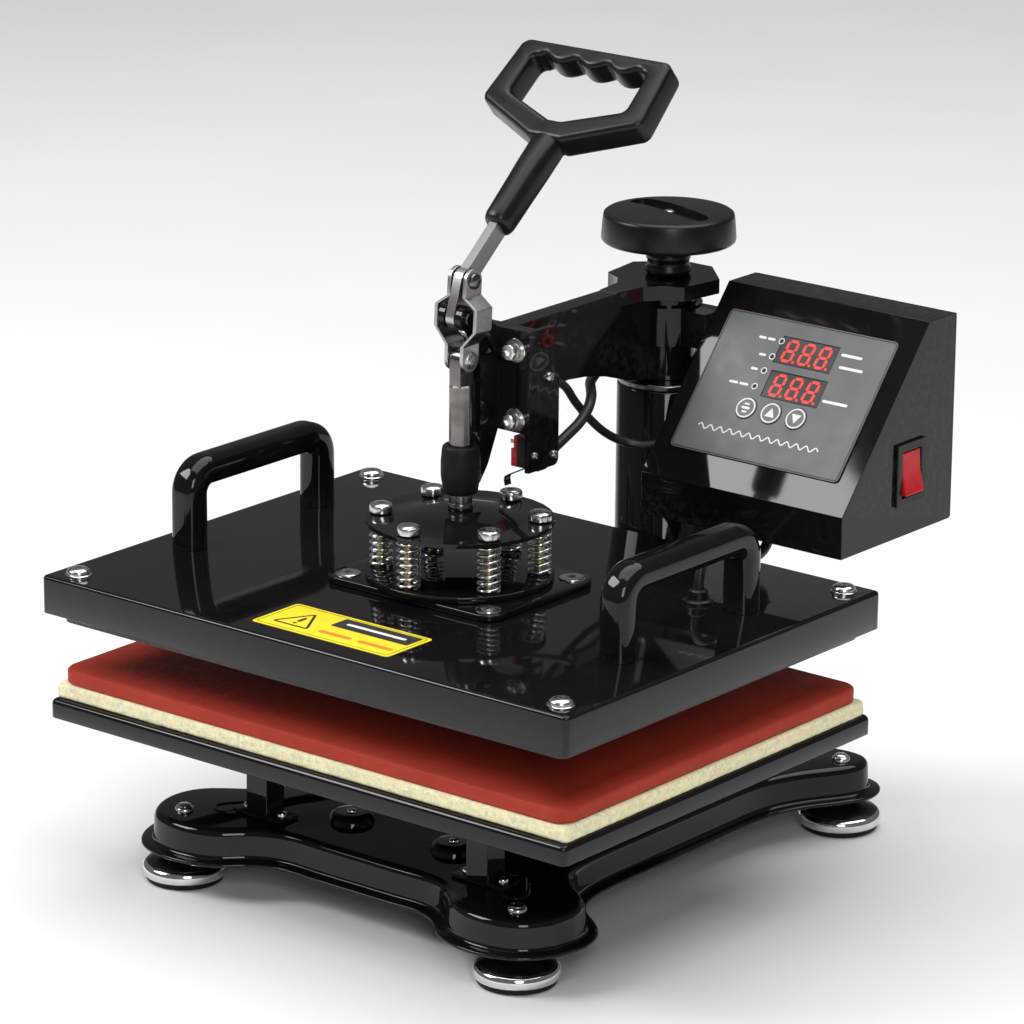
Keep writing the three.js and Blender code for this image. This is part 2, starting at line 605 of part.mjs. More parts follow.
// ---- leads ----
function armLead() {
  return tube([[16, 53, 65], [16, 66, 70], [15.8, 80, 75.5], [15.4, 93, 81], [13.5, 103, 87.2],
    [8, 112.6, 91], [0.2, 122, 92.4], [-7, 131, 93.2], [-11.5, 142, 95.4], [-15, 155, 97],
    [-19.5, 169, 97.4], [-25.2, 182.4, 96.5], [-28, 198, 95.2], [-22.8, 214, 94],
    [-10.6, 226, 92.8], [5, 229.4, 91.4], [19, 226.6, 89.6], [30, 223, 88.4], [39, 222, 88],
    [48, 222, 88]], 3.2, 34, 8);
}

function switchLead() {
  return tube([[19, 51, 109], [15, 62, 111], [10.8, 74, 109], [9.8, 85, 103], [8, 97, 91],
    [7, 110, 79], [7.6, 125, 66.5], [10, 135, 60], [15, 142, 56.5], [22, 146, 55.5],
    [31, 149.4, 57.4], [38, 150, 58], [46, 150, 58]], 2.6, 26, 8);
}

function heaterLead() {
  return tube([[128, 62, -6], [128, 62, 8], [128, 63.5, 18], [127.8, 68.5, 26.5],
    [127.2, 77, 31], [126.2, 87, 31], [125, 97, 27.2], [123.6, 107, 21], [122.2, 117, 14.6],
    [120.8, 127, 10.6], [119.8, 136.4, 11.8], [119.2, 143, 17.8], [119, 146, 27],
    [119, 146, 36]], 3.1, 28, 8);
}

// ---- assembly ----
const press = new THREE.Group();
press.name = 'heat_press';

function add(name, material, geometry) {
  geometry.translate(0, SHIFT_Y, SHIFT_Z);
  const mesh = new THREE.Mesh(geometry, MATERIAL[material].clone());
  mesh.name = name;
  press.add(mesh);
}

add('base', 'black_paint', base());
FEET.forEach(([name, x, y]) => add(`foot_${name}`, 'chrome', foot(x, y)));
add('post', 'black_paint', post());
add('lift_nut', 'brass', liftNut());
add('leg_left', 'black_paint', platenLeg(-LEG.x, LEG.yFront, 1));
add('leg_right', 'black_paint', platenLeg(LEG.x, LEG.yFront, 1));
add('rear_support', 'black_paint', rearSupport());
add('lower_platen', 'black_paint', tray());
add('foam_layer', 'cream_foam', prismZ(roundedRect(FOAM.w, FOAM.d, 3, 2), FOAM.bottom, FOAM.top));
add('silicone_pad', 'red_silicone',
  prismZ(roundedRect(SILICONE.w, SILICONE.d, SILICONE.corner, 5), SILICONE.bottom, SILICONE.top));

add('pivot_shaft', 'steel', pivotShaft());
add('lift_screw', 'steel', liftScrew());
add('knob', 'black_plastic', knob());

add('arm', 'black_paint', arm());
add('bracket', 'black_paint', bracket());
add('guide_sleeve', 'black_plastic', guideSleeve());
add('pivot_pin', 'steel', pivotPin());
add('limit_switch', 'red_plastic', switchBody());
add('switch_lever', 'steel', switchLever());

add('housing', 'black_paint', housing());
add('insulation', 'wool', insulation());
add('heat_plate', 'aluminium', heatPlate());
add('mount_plate', 'black_paint', mountPlate());
add('lower_disc', 'black_paint', lowerDisc());
boltSpots.forEach(([x, y], i) => add(`spring_${i + 1}`, 'zinc', spring(x, y)));
add('grab_handle_left', 'black_paint', grabHandle(HANDLE.left));
add('grab_handle_right', 'black_paint', grabHandle(HANDLE.right));

add('upper_disc', 'black_paint', upperDisc());
add('plunger', 'steel', plunger());
add('link_left', 'zinc', linkPlate(-1));
add('link_right', 'zinc', linkPlate(1));
add('link_pin', 'steel', linkPin());
add('lever', 'zinc', lever());
add('grip', 'black_plastic', grip());

add('control_box', 'black_paint', controlBox());
add('box_back', 'black_paint', boxBack());
add('box_strap', 'black_paint', boxStrap());
add('power_inlet', 'black_plastic', powerInlet());
add('circuit_board', 'board_green', circuitBoard());
add('panel', 'panel_grey', panel());
DISPLAYS.forEach(([name, x, s]) => add(`display_${name}`, 'display_dark', display(x, s)));
BUTTONS.forEach(([name, x]) => add(`button_${name}`, 'panel_grey', button(x)));
add('rocker_frame', 'black_plastic', rockerFrame());
add('rocker', 'red_plastic', rocker());

add('arm_lead', 'cable', armLead());
add('switch_lead', 'cable', switchLead());
add('heater_lead', 'cable', heaterLead());

export default press;
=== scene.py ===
"""Looks for the swing-away heat press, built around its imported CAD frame. Metres, +Z up.

Most places are written in millimetres from one datum: the plunger's axis at the height
of the housing top, both read from the frame. mm() turns such a place into the row frame.
"""

import json
import math

import bmesh
import bpy
from mathutils import Matrix, Vector, noise


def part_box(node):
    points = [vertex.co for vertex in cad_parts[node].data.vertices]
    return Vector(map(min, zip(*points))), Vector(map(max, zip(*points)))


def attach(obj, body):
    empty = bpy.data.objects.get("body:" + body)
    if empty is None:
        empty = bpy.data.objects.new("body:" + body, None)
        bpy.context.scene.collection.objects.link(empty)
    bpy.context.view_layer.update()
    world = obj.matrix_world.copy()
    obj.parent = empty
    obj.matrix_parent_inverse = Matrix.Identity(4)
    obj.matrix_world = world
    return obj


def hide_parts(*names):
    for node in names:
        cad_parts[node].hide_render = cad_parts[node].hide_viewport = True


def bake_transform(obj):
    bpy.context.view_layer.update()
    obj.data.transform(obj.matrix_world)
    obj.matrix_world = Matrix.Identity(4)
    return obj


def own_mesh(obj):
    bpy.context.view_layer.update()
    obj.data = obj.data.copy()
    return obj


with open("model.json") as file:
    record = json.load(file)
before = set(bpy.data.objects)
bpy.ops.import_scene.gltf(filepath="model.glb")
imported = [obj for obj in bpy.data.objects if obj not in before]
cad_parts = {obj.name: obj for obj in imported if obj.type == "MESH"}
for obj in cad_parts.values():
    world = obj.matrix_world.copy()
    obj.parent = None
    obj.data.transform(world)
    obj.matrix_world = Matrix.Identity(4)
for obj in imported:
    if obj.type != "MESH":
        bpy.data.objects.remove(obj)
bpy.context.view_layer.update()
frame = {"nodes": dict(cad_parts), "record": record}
SLOTS = {s["node"]: s["material_slot"] for s in frame["record"]["subparts"]}
BODY_OF = {n: b for b, ns in frame["record"]["behaviour"]["bodies"].items() for n in ns}

# ---- datum and driving sizes (mm) ----
ROD_LOW, ROD_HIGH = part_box("plunger")
HOUSING_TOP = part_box("housing")[1].z
DATUM = Vector(((ROD_LOW.x + ROD_HIGH.x) / 2, (ROD_LOW.y + ROD_HIGH.y) / 2, HOUSING_TOP))
POST_Y = 197
BASE_TOP = -143
FLOOR = -DATUM.z * 1000
CORNER_SCREW = (181, 133)
MOUNT_SCREW = (53, 39)
LEAD_HOLE = (128, 62)
BOLT_RING = 47
BOLT_ANGLES = range(30, 360, 60)
SLOPE_START = (125, 47)
SLOPE_END = (209, 148)
SLOPE = math.atan2(SLOPE_END[1] - SLOPE_START[1], SLOPE_END[0] - SLOPE_START[0])
PANEL_FACE = 1.2
PANEL_MID = (109.8, 67)
BUTTON_X = {"set": 89.2, "up": 107.4, "down": 125.6}
BUTTON_S = 53.2
BUTTON_FACE = 2.0
BOX_BACK_Y = 237.8
GRIP_TILT = math.radians(40)
GRIP_BASE = (33, 210)
KNOB_TURN = -0.24


def mm(x, y, z):
    """A place in millimetres from the datum, as a point of the row frame in metres."""
    return DATUM + Vector((x, y, z)) / 1000


def spot(x=0, y=0, z=0, turn=None):
    """The matrix that puts a piece drawn in millimetres at a place, turned by a rotation."""
    place = Matrix.Translation(mm(x, y, z)) @ Matrix.Diagonal((0.001, 0.001, 0.001, 1))
    return place @ turn if turn else place


def on_slope(x=0, s=0, out=0):
    """The matrix for a piece on the box's sloped face: x across, s up the slope, out of it."""
    tilt = Matrix.Rotation(SLOPE, 4, "X")
    return spot(0, SLOPE_START[0], SLOPE_START[1], tilt) @ Matrix.Translation((x, s, out))


def mirror_pairs(x, y):
    return [(-x, -y), (x, -y), (x, y), (-x, y)]


# ---- materials ----
class Look:
    """A node material under construction: one Principled shader and what feeds it."""

    def __init__(self, name, color, rough, metal=0.0, **sockets):
        self.material = bpy.data.materials.new(name)
        self.material.use_nodes = True
        self.tree = self.material.node_tree
        self.shader = self.tree.nodes["Principled BSDF"]
        self.place = self.tree.nodes.new("ShaderNodeTexCoord").outputs["Object"]
        self.color = None
        self.normal = None
        self.shader.inputs["Base Color"].default_value = (*color, 1)
        self.shader.inputs["Roughness"].default_value = rough
        self.shader.inputs["Metallic"].default_value = metal
        for key, value in sockets.items():
            self.shader.inputs[key.replace("_", " ")].default_value = value

    def node(self, kind, inputs=None, **settings):
        made = self.tree.nodes.new("ShaderNode" + kind)
        for key, value in settings.items():
            setattr(made, key, value)
        for key, value in (inputs or {}).items():
            if hasattr(value, "links"):
                self.tree.links.new(value, made.inputs[key])
            else:
                made.inputs[key].default_value = value
        return made

    def noise(self, scale, detail=3.0, stretch=None):
        """Noise whose features are about 1/scale metres across."""
        place = self.place
        if stretch:
            place = self.node("Mapping", {"Vector": place, "Scale": stretch}).outputs[0]
        return self.node("TexNoise", {"Vector": place, "Scale": scale, "Detail": detail,
                                      "Roughness": 0.55}).outputs["Fac"]

    def spread(self, value, low, high, out_low, out_high):
        return self.node("MapRange", {"Value": value, "From Min": low, "From Max": high,
                                      "To Min": out_low, "To Max": out_high}).outputs[0]

    def mix(self, factor, a, b):
        """A colour between a and b; a may be None for the colour so far."""
        made = self.node("Mix", data_type="RGBA")
        first = a if a is not None else self.color
        for index, value in ((0, factor), (6, first), (7, b)):
            if hasattr(value, "links"):
                self.tree.links.new(value, made.inputs[index])
            elif index:
                made.inputs[index].default_value = (*value[:3], 1)
            else:
                made.inputs[index].default_value = value
        self.color = made.outputs[2]
        self.tree.links.new(self.color, self.shader.inputs["Base Color"])
        return self

    def vary(self, a, b, scale, detail=3.0, low=0.35, high=0.65, stretch=None):
        """Colour that wanders between a and b."""
        return self.mix(self.spread(self.noise(scale, detail, stretch), low, high, 0, 1), a, b)

    def wear(self, color, strength=0.6, start=0.53, end=0.6):
        """Rubbed edges in another colour, broken up by noise."""
        edge = self.spread(self.node("NewGeometry").outputs["Pointiness"], start, end, 0, strength)
        broken = self.spread(self.noise(260, 4), 0.42, 0.62, 0, 1)
        both = self.node("Math", {0: edge, 1: broken}, operation="MULTIPLY").outputs[0]
        return self.mix(both, None, color)

    def rough(self, low, high, scale, detail=3.0, stretch=None):
        value = self.spread(self.noise(scale, detail, stretch), 0.3, 0.7, low, high)
        self.tree.links.new(value, self.shader.inputs["Roughness"])
        return self

    def bump(self, height, scale=None, depth=0.0001, strength=1.0, detail=3.0, stretch=None):
        """Relief of a given depth in metres, from a height socket or from noise."""
        source = height if height is not None else self.noise(scale, detail, stretch)
        inputs = {"Height": source, "Distance": depth, "Strength": strength}
        if self.normal is not None:
            inputs["Normal"] = self.normal
        self.normal = self.node("Bump", inputs).outputs[0]
        self.tree.links.new(self.normal, self.shader.inputs["Normal"])
        return self


def cells(look, scale):
    return look.node("TexVoronoi", {"Vector": look.place, "Scale": scale, "Randomness": 1.0})


def plain(name, color, rough, tones, gloss, relief=None, metal=0.0, **sockets):
    """A look with wandering tone and gloss and, if given, fine relief, all from noise."""
    look = Look(name, color, rough, metal, **sockets).vary(*tones).rough(*gloss)
    return (look.bump(None, *relief) if relief else look).material


def gloss_paint():
    """Black powder coat: faint orange peel, slow gloss changes, thin rubbed edges."""
    look = Look("gloss_black_paint", (0.005, 0.004, 0.0045), 0.1, Specular_IOR_Level=0.32)
    look.vary((0.0045, 0.0036, 0.004), (0.0075, 0.0062, 0.0068), 14)
    look.wear((0.04, 0.036, 0.036), 0.4)
    return look.rough(0.03, 0.065, 22, 4).bump(None, 220, 0.00001, 0.06, 2).material


def satin_plastic():
    look = Look("satin_black_plastic", (0.005, 0.0045, 0.005), 0.34, Specular_IOR_Level=0.32)
    look.vary((0.0045, 0.004, 0.0045), (0.0075, 0.0068, 0.0074), 30)
    look.wear((0.03, 0.028, 0.03), 0.3)
    return look.rough(0.27, 0.38, 60, 4).bump(None, 1500, 0.00002, 0.4, 3).material


def yellow_zinc():
    look = Look("yellow_passivated_zinc", (0.72, 0.60, 0.25), 0.3, 1.0)
    look.vary((0.60, 0.55, 0.40), (0.80, 0.66, 0.22), 160)
    threads = look.node("TexWave", {"Vector": look.place, "Scale": 320.0}, bands_direction="Z",
                        wave_type="BANDS").outputs["Fac"]
    return look.rough(0.22, 0.4, 500).bump(threads, depth=0.0003, strength=0.9).material


def turned_steel():
    """A turned rod: fine rings round it, brown-grey, brushed."""
    look = Look("turned_steel", (0.18, 0.165, 0.155), 0.24, 1.0)
    look.vary((0.145, 0.13, 0.12), (0.22, 0.205, 0.195), 24, stretch=(1, 1, 3))
    rings = look.noise(60, 4, (0.2, 0.2, 40))
    look.bump(rings, depth=0.000003, strength=0.25)
    return look.rough(0.18, 0.28, 240, 4, (1, 1, 8)).material


def silicone_sponge():
    """Red sponge: smooth printed top, tiny open cells that show on the cut sides."""
    look = Look("red_silicone_sponge", (0.36, 0.034, 0.016), 0.65, Specular_IOR_Level=0.25)
    look.vary((0.345, 0.031, 0.0145), (0.385, 0.037, 0.0175), 45, 4)
    pores = cells(look, 1500).outputs["Distance"]
    dark = look.spread(pores, 0.05, 0.24, 0.55, 0)
    look.mix(dark, None, (0.10, 0.008, 0.006))
    light = look.spread(look.noise(2400, 2), 0.62, 0.74, 0, 0.3)
    look.mix(light, None, (0.60, 0.14, 0.08))
    look.bump(pores, depth=0.00022, strength=0.7)
    return look.rough(0.5, 0.75, 300).bump(None, 60, 0.0002, 0.3).material


def speckled_foam():
    """Cream rebond foam: crumbs of several pastel colours pressed together."""
    look = Look("cream_rebond_foam", (0.80, 0.74, 0.47), 0.92, Specular_IOR_Level=0.2)
    crumbs = cells(look, 520)
    tone = look.node("SeparateColor", {0: crumbs.outputs["Color"]}).outputs
    look.vary((0.86, 0.80, 0.50), (0.78, 0.71, 0.43), 190, 5)
    pastels = (((0.92, 0.88, 0.60), 0, 0.62, 0.6), ((0.50, 0.62, 0.56), 1, 0.84, 0.5),
               ((0.72, 0.60, 0.34), 2, 0.84, 0.5), ((0.50, 0.58, 0.64), 0, 0.96, 0.5))
    for color, channel, start, amount in pastels:
        share = look.spread(tone[channel], start, start + 0.03, 0, amount)
        look.mix(share, None, color)
    pits = look.spread(look.noise(900, 4), 0.30, 0.40, 0.3, 0)
    look.mix(pits, None, (0.52, 0.46, 0.26))
    look.bump(crumbs.outputs["Distance"], depth=0.0003, strength=0.5)
    return look.bump(None, 1200, 0.0002, 0.5, 4).material


def lit_segment():
    look = Look("lit_red_segment", (0.9, 0.03, 0.02), 0.4, Emission_Strength=0.22)
    look.shader.inputs["Emission Color"].default_value = (1.0, 0.045, 0.03, 1)
    return look.vary((0.85, 0.02, 0.015), (1.0, 0.05, 0.03), 900).rough(0.3, 0.5, 300).material


def printed(name, color, rough=0.5):
    tones = ([c * 0.93 for c in color], [min(1, c * 1.05) for c in color], 150)
    gloss = (rough - 0.1, rough + 0.1, 400)
    return plain(name, color, rough, tones, gloss, (1800, 0.00001, 0.4), IOR=1.45)


def wool():
    look = Look("insulation_wool", (0.8, 0.77, 0.68), 0.95)
    return look.vary((0.72, 0.68, 0.58), (0.86, 0.83, 0.75), 220).bump(None, 500, 0.001).material


PAINT = gloss_paint()
PLASTIC = satin_plastic()
RUBBER = plain("black_rubber", (0.004, 0.004, 0.004), 0.45,
               ((0.0035, 0.0035, 0.0035), (0.006, 0.0056, 0.0054), 120), (0.42, 0.6, 200),
               (1800, 0.00004, 0.5), Specular_IOR_Level=0.22)
ZINC = plain("bright_zinc", (0.46, 0.46, 0.45), 0.3,
             ((0.44, 0.44, 0.43), (0.50, 0.50, 0.49), 600), (0.27, 0.31, 900),
             (1500, 0.000006, 0.2), 1.0)
WIRE = plain("zinc_spring_wire", (0.75, 0.76, 0.78), 0.16,
             ((0.66, 0.68, 0.70), (0.86, 0.87, 0.88), 500), (0.1, 0.24, 900),
             (2500, 0.00001, 0.4), 1.0)
NICKEL = plain("nickel_plate", (0.72, 0.70, 0.68), 0.18,
               ((0.64, 0.62, 0.60), (0.80, 0.79, 0.77), 300), (0.12, 0.28, 700, 4),
               (2000, 0.000015, 0.4), 1.0)
YELLOW_ZINC = yellow_zinc()
STEEL = turned_steel()
CHROME = plain("chrome_cup", (0.82, 0.82, 0.83), 0.08,
               ((0.74, 0.74, 0.75), (0.88, 0.88, 0.88), 90), (0.05, 0.14, 300, 4),
               (500, 0.00001, 0.3), 1.0)
# Painted shade: the heater plate's aluminium is given a near-black colour for the shadow it sits in
# under the housing.
PAINTED_SHADE_ALUMINIUM = plain("aluminium_painted_shade", (0.022, 0.021, 0.022), 0.42,
                ((0.018, 0.017, 0.018), (0.030, 0.028, 0.028), 80), (0.34, 0.5, 400),
                (1300, 0.00003, 0.5), Specular_IOR_Level=0.4)
SILICONE = silicone_sponge()
FOAM = speckled_foam()
DISPLAY = plain("display_filter", (0.03, 0.03, 0.03), 0.3,
                ((0.030, 0.028, 0.028), (0.042, 0.040, 0.040), 60), (0.28, 0.36, 200),
                (300, 0.00001, 0.3), Specular_IOR_Level=0.3)
LIT = lit_segment()
FILM = plain("grey_panel_film", (0.115, 0.118, 0.118), 0.42,
             ((0.108, 0.112, 0.112), (0.128, 0.131, 0.130), 25), (0.36, 0.5, 90),
             (2600, 0.00002, 0.5, 2), IOR=1.45)
WHITE_INK = printed("white_ink", (0.78, 0.78, 0.76))
GREY_KEY = printed("grey_key", (0.15, 0.155, 0.155))
YELLOW_LABEL = printed("yellow_label", (0.86, 0.70, 0.02), 0.4)
BLACK_INK = printed("black_ink", (0.02, 0.02, 0.018))
ORANGE_INK = printed("orange_ink", (0.80, 0.22, 0.02))
RED = plain("red_switch_plastic", (0.50, 0.008, 0.014), 0.22,
            ((0.45, 0.006, 0.011), (0.56, 0.012, 0.018), 120), (0.16, 0.3, 300),
            (900, 0.00001, 0.3), Specular_IOR_Level=0.35)
CABLE = plain("cable_sheath", (0.014, 0.013, 0.014), 0.4,
              ((0.012, 0.011, 0.012), (0.022, 0.021, 0.022), 90), (0.32, 0.5, 300),
              (1400, 0.00003, 0.5))
BRASS = plain("nut_brass", (0.62, 0.46, 0.2), 0.35,
              ((0.52, 0.38, 0.15), (0.7, 0.53, 0.25), 90), (0.28, 0.45, 300), metal=1.0)
WOOL = wool()
BOARD = plain("board_green", (0.03, 0.16, 0.06), 0.4,
              ((0.02, 0.13, 0.05), (0.05, 0.2, 0.08), 400), (0.3, 0.5, 200))
SLOT_LOOK = {"black_paint": PAINT, "chrome": CHROME, "brass": BRASS, "steel": STEEL,
             "zinc": ZINC, "aluminium": PAINTED_SHADE_ALUMINIUM, "wool": WOOL, "cream_foam": FOAM,
             "red_silicone": SILICONE, "black_plastic": PLASTIC, "red_plastic": RED,
             "panel_grey": FILM, "display": DISPLAY, "button_grey": GREY_KEY,
             "cable": CABLE, "board": BOARD}


# ---- mesh helpers ----
def add(name, data):
    made = bpy.data.objects.new(name, data)
    bpy.context.scene.collection.objects.link(made)
    return made


def piece(name, verts, faces, look, body, matrix=None, sharp=35):
    """A closed mesh, smooth up to the sharp angle. It rides on a body, or on no body if None."""
    mesh = bpy.data.meshes.new(name)
    mesh.from_pydata([tuple(v) for v in verts], [], faces)
    if matrix is not None:
        mesh.transform(matrix)
    weld(mesh)
    mesh.polygons.foreach_set("use_smooth", [True] * len(mesh.polygons))
    mesh.set_sharp_from_angle(angle=math.radians(sharp))
    made = add(name, mesh)
    mesh.materials.append(look)
    if body is not None:
        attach(made, body)
    return made


def weld(mesh):
    """Welds a mesh and turns its faces outwards."""
    work = bmesh.new()
    work.from_mesh(mesh)
    bmesh.ops.remove_doubles(work, verts=work.verts, dist=1e-6)
    bmesh.ops.recalc_face_normals(work, faces=work.faces)
    work.to_mesh(mesh)
    work.free()


def bevel(made, width, segments, angle):
    """Rounds the sharp edges; the width is in millimetres."""
    rounding = made.modifiers.new("round", "BEVEL")
    rounding.width = width / 1000
    rounding.segments = segments
    rounding.limit_method = "ANGLE"
    rounding.angle_limit = math.radians(angle)
    rounding.harden_normals = True
    return made


def refine(node, width=0.5, segments=3, look=None, angle=32):
    """The CAD node's own shape with its flat faces whole and its edges rounded."""
    work = bmesh.new()
    work.from_mesh(frame["nodes"][node].data)
    bmesh.ops.remove_doubles(work, verts=work.verts, dist=2e-6)
    bmesh.ops.dissolve_limit(work, angle_limit=math.radians(0.6), verts=work.verts,
                             edges=work.edges)
    verts = [v.co.copy() for v in work.verts]
    faces = [[v.index for v in f.verts] for f in work.faces]
    work.free()
    look = look or SLOT_LOOK[SLOTS[node]]
    made = piece(f"{node}_shell", verts, faces, look, BODY_OF[node], sharp=angle)
    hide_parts(node)
    return bevel(made, width, segments, angle) if width else made


def rings_to_faces(count, sides, closed=False):
    """Quads between successive rings of points, and the two end caps of an open stack."""
    faces = []
    for i in range(count if closed else count - 1):
        a, b = i * sides, ((i + 1) % count) * sides
        faces += [[a + j, a + (j + 1) % sides, b + (j + 1) % sides, b + j] for j in range(sides)]
    if not closed:
        faces += [list(range(sides))[::-1], list(range((count - 1) * sides, count * sides))]
    return faces


def stack(name, rings, look, body, matrix=None, closed=False, sharp=35):
    verts = [p for ring in rings for p in ring]
    faces = rings_to_faces(len(rings), len(rings[0]), closed)
    return piece(name, verts, faces, look, body, matrix, sharp)


def circle(r, z=0.0, sides=64):
    turns = [2 * math.pi * i / sides for i in range(sides)]
    return [(r * math.cos(t), r * math.sin(t), z) for t in turns]


def lathe(name, profile, look, body, matrix, sides=64, closed=False, sharp=35):
    """A turned piece; profile is (radius, height) pairs in millimetres."""
    rings = [circle(max(r, 0.01), z, sides) for r, z in profile]
    return stack(name, rings, look, body, matrix, closed, sharp)


def arc(cx, cy, r, a0, a1, steps):
    turns = [math.radians(a0 + (a1 - a0) * i / steps) for i in range(steps + 1)]
    return [(cx + r * math.cos(t), cy + r * math.sin(t)) for t in turns]


def rounded_rect(w, d, r, steps=8):
    x, y = w / 2 - r, d / 2 - r
    return (arc(x, y, r, 0, 90, steps) + arc(-x, y, r, 90, 180, steps)
            + arc(-x, -y, r, 180, 270, steps) + arc(x, -y, r, 270, 360, steps))


def inset(outline, distance):
    """The outline moved inwards along its own normals; it runs anticlockwise."""
    moved = []
    for i, (x, y) in enumerate(outline):
        ax, ay = outline[i - 1]
        bx, by = outline[(i + 1) % len(outline)]
        length = math.hypot(bx - ax, by - ay) or 1
        moved.append((x - (by - ay) / length * distance, y + (bx - ax) / length * distance))
    return moved


def layered(name, outline, levels, look, body, matrix, sharp=35, closed=False):
    """An outline stacked at (inset, height) levels."""
    rings = [[(x, y, z) for x, y in inset(outline, d)] for d, z in levels]
    return stack(name, rings, look, body, matrix, closed, sharp)


def plate(name, outline, z0, z1, edge, look, body, matrix):
    """A flat plate with rounded rims."""
    rim = [(edge * (1 - math.sin(t)), edge * (1 - math.cos(t)))
           for t in (0, math.pi / 6, math.pi / 3, math.pi / 2)]
    levels = [(d, z0 + h) for d, h in rim] + [(d, z1 - h) for d, h in rim[::-1]]
    return layered(name, outline, levels, look, body, matrix, 50)


def spline(points, per_span):
    """A centripetal Catmull-Rom curve through the points."""
    pts = [Vector(p) for p in points]
    pts = [2 * pts[0] - pts[1], *pts, 2 * pts[-1] - pts[-2]]
    out = []
    for a, b, c, d in zip(pts, pts[1:], pts[2:], pts[3:]):
        knots = [0.0]
        for p, q in ((a, b), (b, c), (c, d)):
            knots.append(knots[-1] + math.sqrt(max((q - p).length, 1e-6)))
        for i in range(per_span):
            t = knots[1] + (knots[2] - knots[1]) * i / per_span
            out.append(catmull((a, b, c, d), knots, t))
    return out + [pts[-2]]


def catmull(points, knots, t):
    level = list(points)
    for width in (1, 2):
        level = [level[i].lerp(level[i + 1], (t - knots[i]) / (knots[i + width] - knots[i]))
                 for i in range(len(level) - 1)]
    low, high = level
    return low.lerp(high, (t - knots[1]) / (knots[2] - knots[1]))


def sweep(name, path, section, look, body, matrix=None, up=(0, 0, 1), sharp=35):
    """A section of (u, v) points carried along a path without twist."""
    path = [Vector(p) for p in path]
    side = None
    rings = []
    for i, p in enumerate(path):
        along = (path[min(i + 1, len(path) - 1)] - path[max(i - 1, 0)]).normalized()
        if side is None:
            side = along.cross(Vector(up))
            side = side if side.length > 0.1 else along.cross(Vector((1, 0, 0)))
        side = (side - along * side.dot(along)).normalized()
        over = side.cross(along)
        rings.append([p + side * u + over * v for u, v in section])
    return stack(name, rings, look, body, matrix, sharp=sharp)


def disc(r, sides):
    return [(x, y) for x, y, _ in circle(r, 0, sides)]


def outline_of(node):
    """The outer outline of a CAD node's lowest flat face, in mm from the datum, anticlockwise."""
    work = bmesh.new()
    work.from_mesh(frame["nodes"][node].data)
    bmesh.ops.remove_doubles(work, verts=work.verts, dist=2e-6)
    low = min(v.co.z for v in work.verts)
    inside = {f for f in work.faces if all(v.co.z < low + 1e-5 for v in f.verts)}
    links = {}
    for edge in work.edges:
        if sum(f in inside for f in edge.link_faces) == 1:
            for a, b in (edge.verts, reversed(edge.verts)):
                links.setdefault(a.index, []).append(b.index)
    work.verts.ensure_lookup_table()
    start = max(links, key=lambda i: work.verts[i].co.x)
    walk = [start]
    while len(walk) < 2 or walk[-1] != start:
        ahead = [i for i in links[walk[-1]] if len(walk) < 2 or i != walk[-2]]
        walk.append(ahead[0])
    places = [(work.verts[i].co - DATUM) * 1000 for i in walk[:-1]]
    work.free()
    outline = [(p.x, p.y) for p in places]
    area = sum(a[0] * b[1] - b[0] * a[1] for a, b in zip(outline, outline[1:] + outline[:1]))
    return outline if area > 0 else outline[::-1]


def smooth_loop(outline, per_span=4):
    """A closed outline passed through a smooth curve."""
    ring = [(x, y, 0) for x, y in outline]
    path = spline([ring[-1], *ring, ring[0], ring[1]], per_span)
    return [(p.x, p.y) for p in path[per_span:-2 * per_span]]


def ridge(name, outline, height, width, look, body, matrix):
    """A low rounded ridge that follows an outline."""
    levels = [(0, -0.5), (0, height * 0.4), (width * 0.25, height), (width * 0.75, height),
              (width, height * 0.4), (width, -0.5)]
    return layered(name, outline, levels, look, body, matrix, closed=True)


def moved(outline, x, y, turn=0.0):
    c, s = math.cos(turn), math.sin(turn)
    return [(x + a * c - b * s, y + a * s + b * c) for a, b in outline]


def hexagon(r, z):
    ring = []
    for i in range(48):
        t = 2 * math.pi * i / 48
        reach = r * math.cos(math.pi / 6) / math.cos(t % (math.pi / 3) - math.pi / 6)
        ring.append((reach * math.cos(t), reach * math.sin(t), z))
    return ring


def socket_head(name, profile, socket, depth, look, body, matrix):
    """A turned screw head with a hexagon socket in its top."""
    rings = [circle(max(r, 0.01), z, 48) for r, z in profile]
    top = profile[-1][1]
    rings += [hexagon(socket, top), hexagon(socket * 0.94, top - depth)]
    return stack(name, rings, look, body, matrix)


def hex_nut(name, r, height, bore, look, body, matrix):
    rings = [hexagon(bore, 0), hexagon(r * 0.93, 0), hexagon(r, height * 0.12),
             hexagon(r, height * 0.88), hexagon(r * 0.93, height), hexagon(bore, height)]
    return stack(name, rings, look, body, matrix, closed=True, sharp=25)


def middle(node):
    """The middle of a CAD node's box, in mm from the datum."""
    low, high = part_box(node)
    return ((low + high) / 2 - DATUM) * 1000


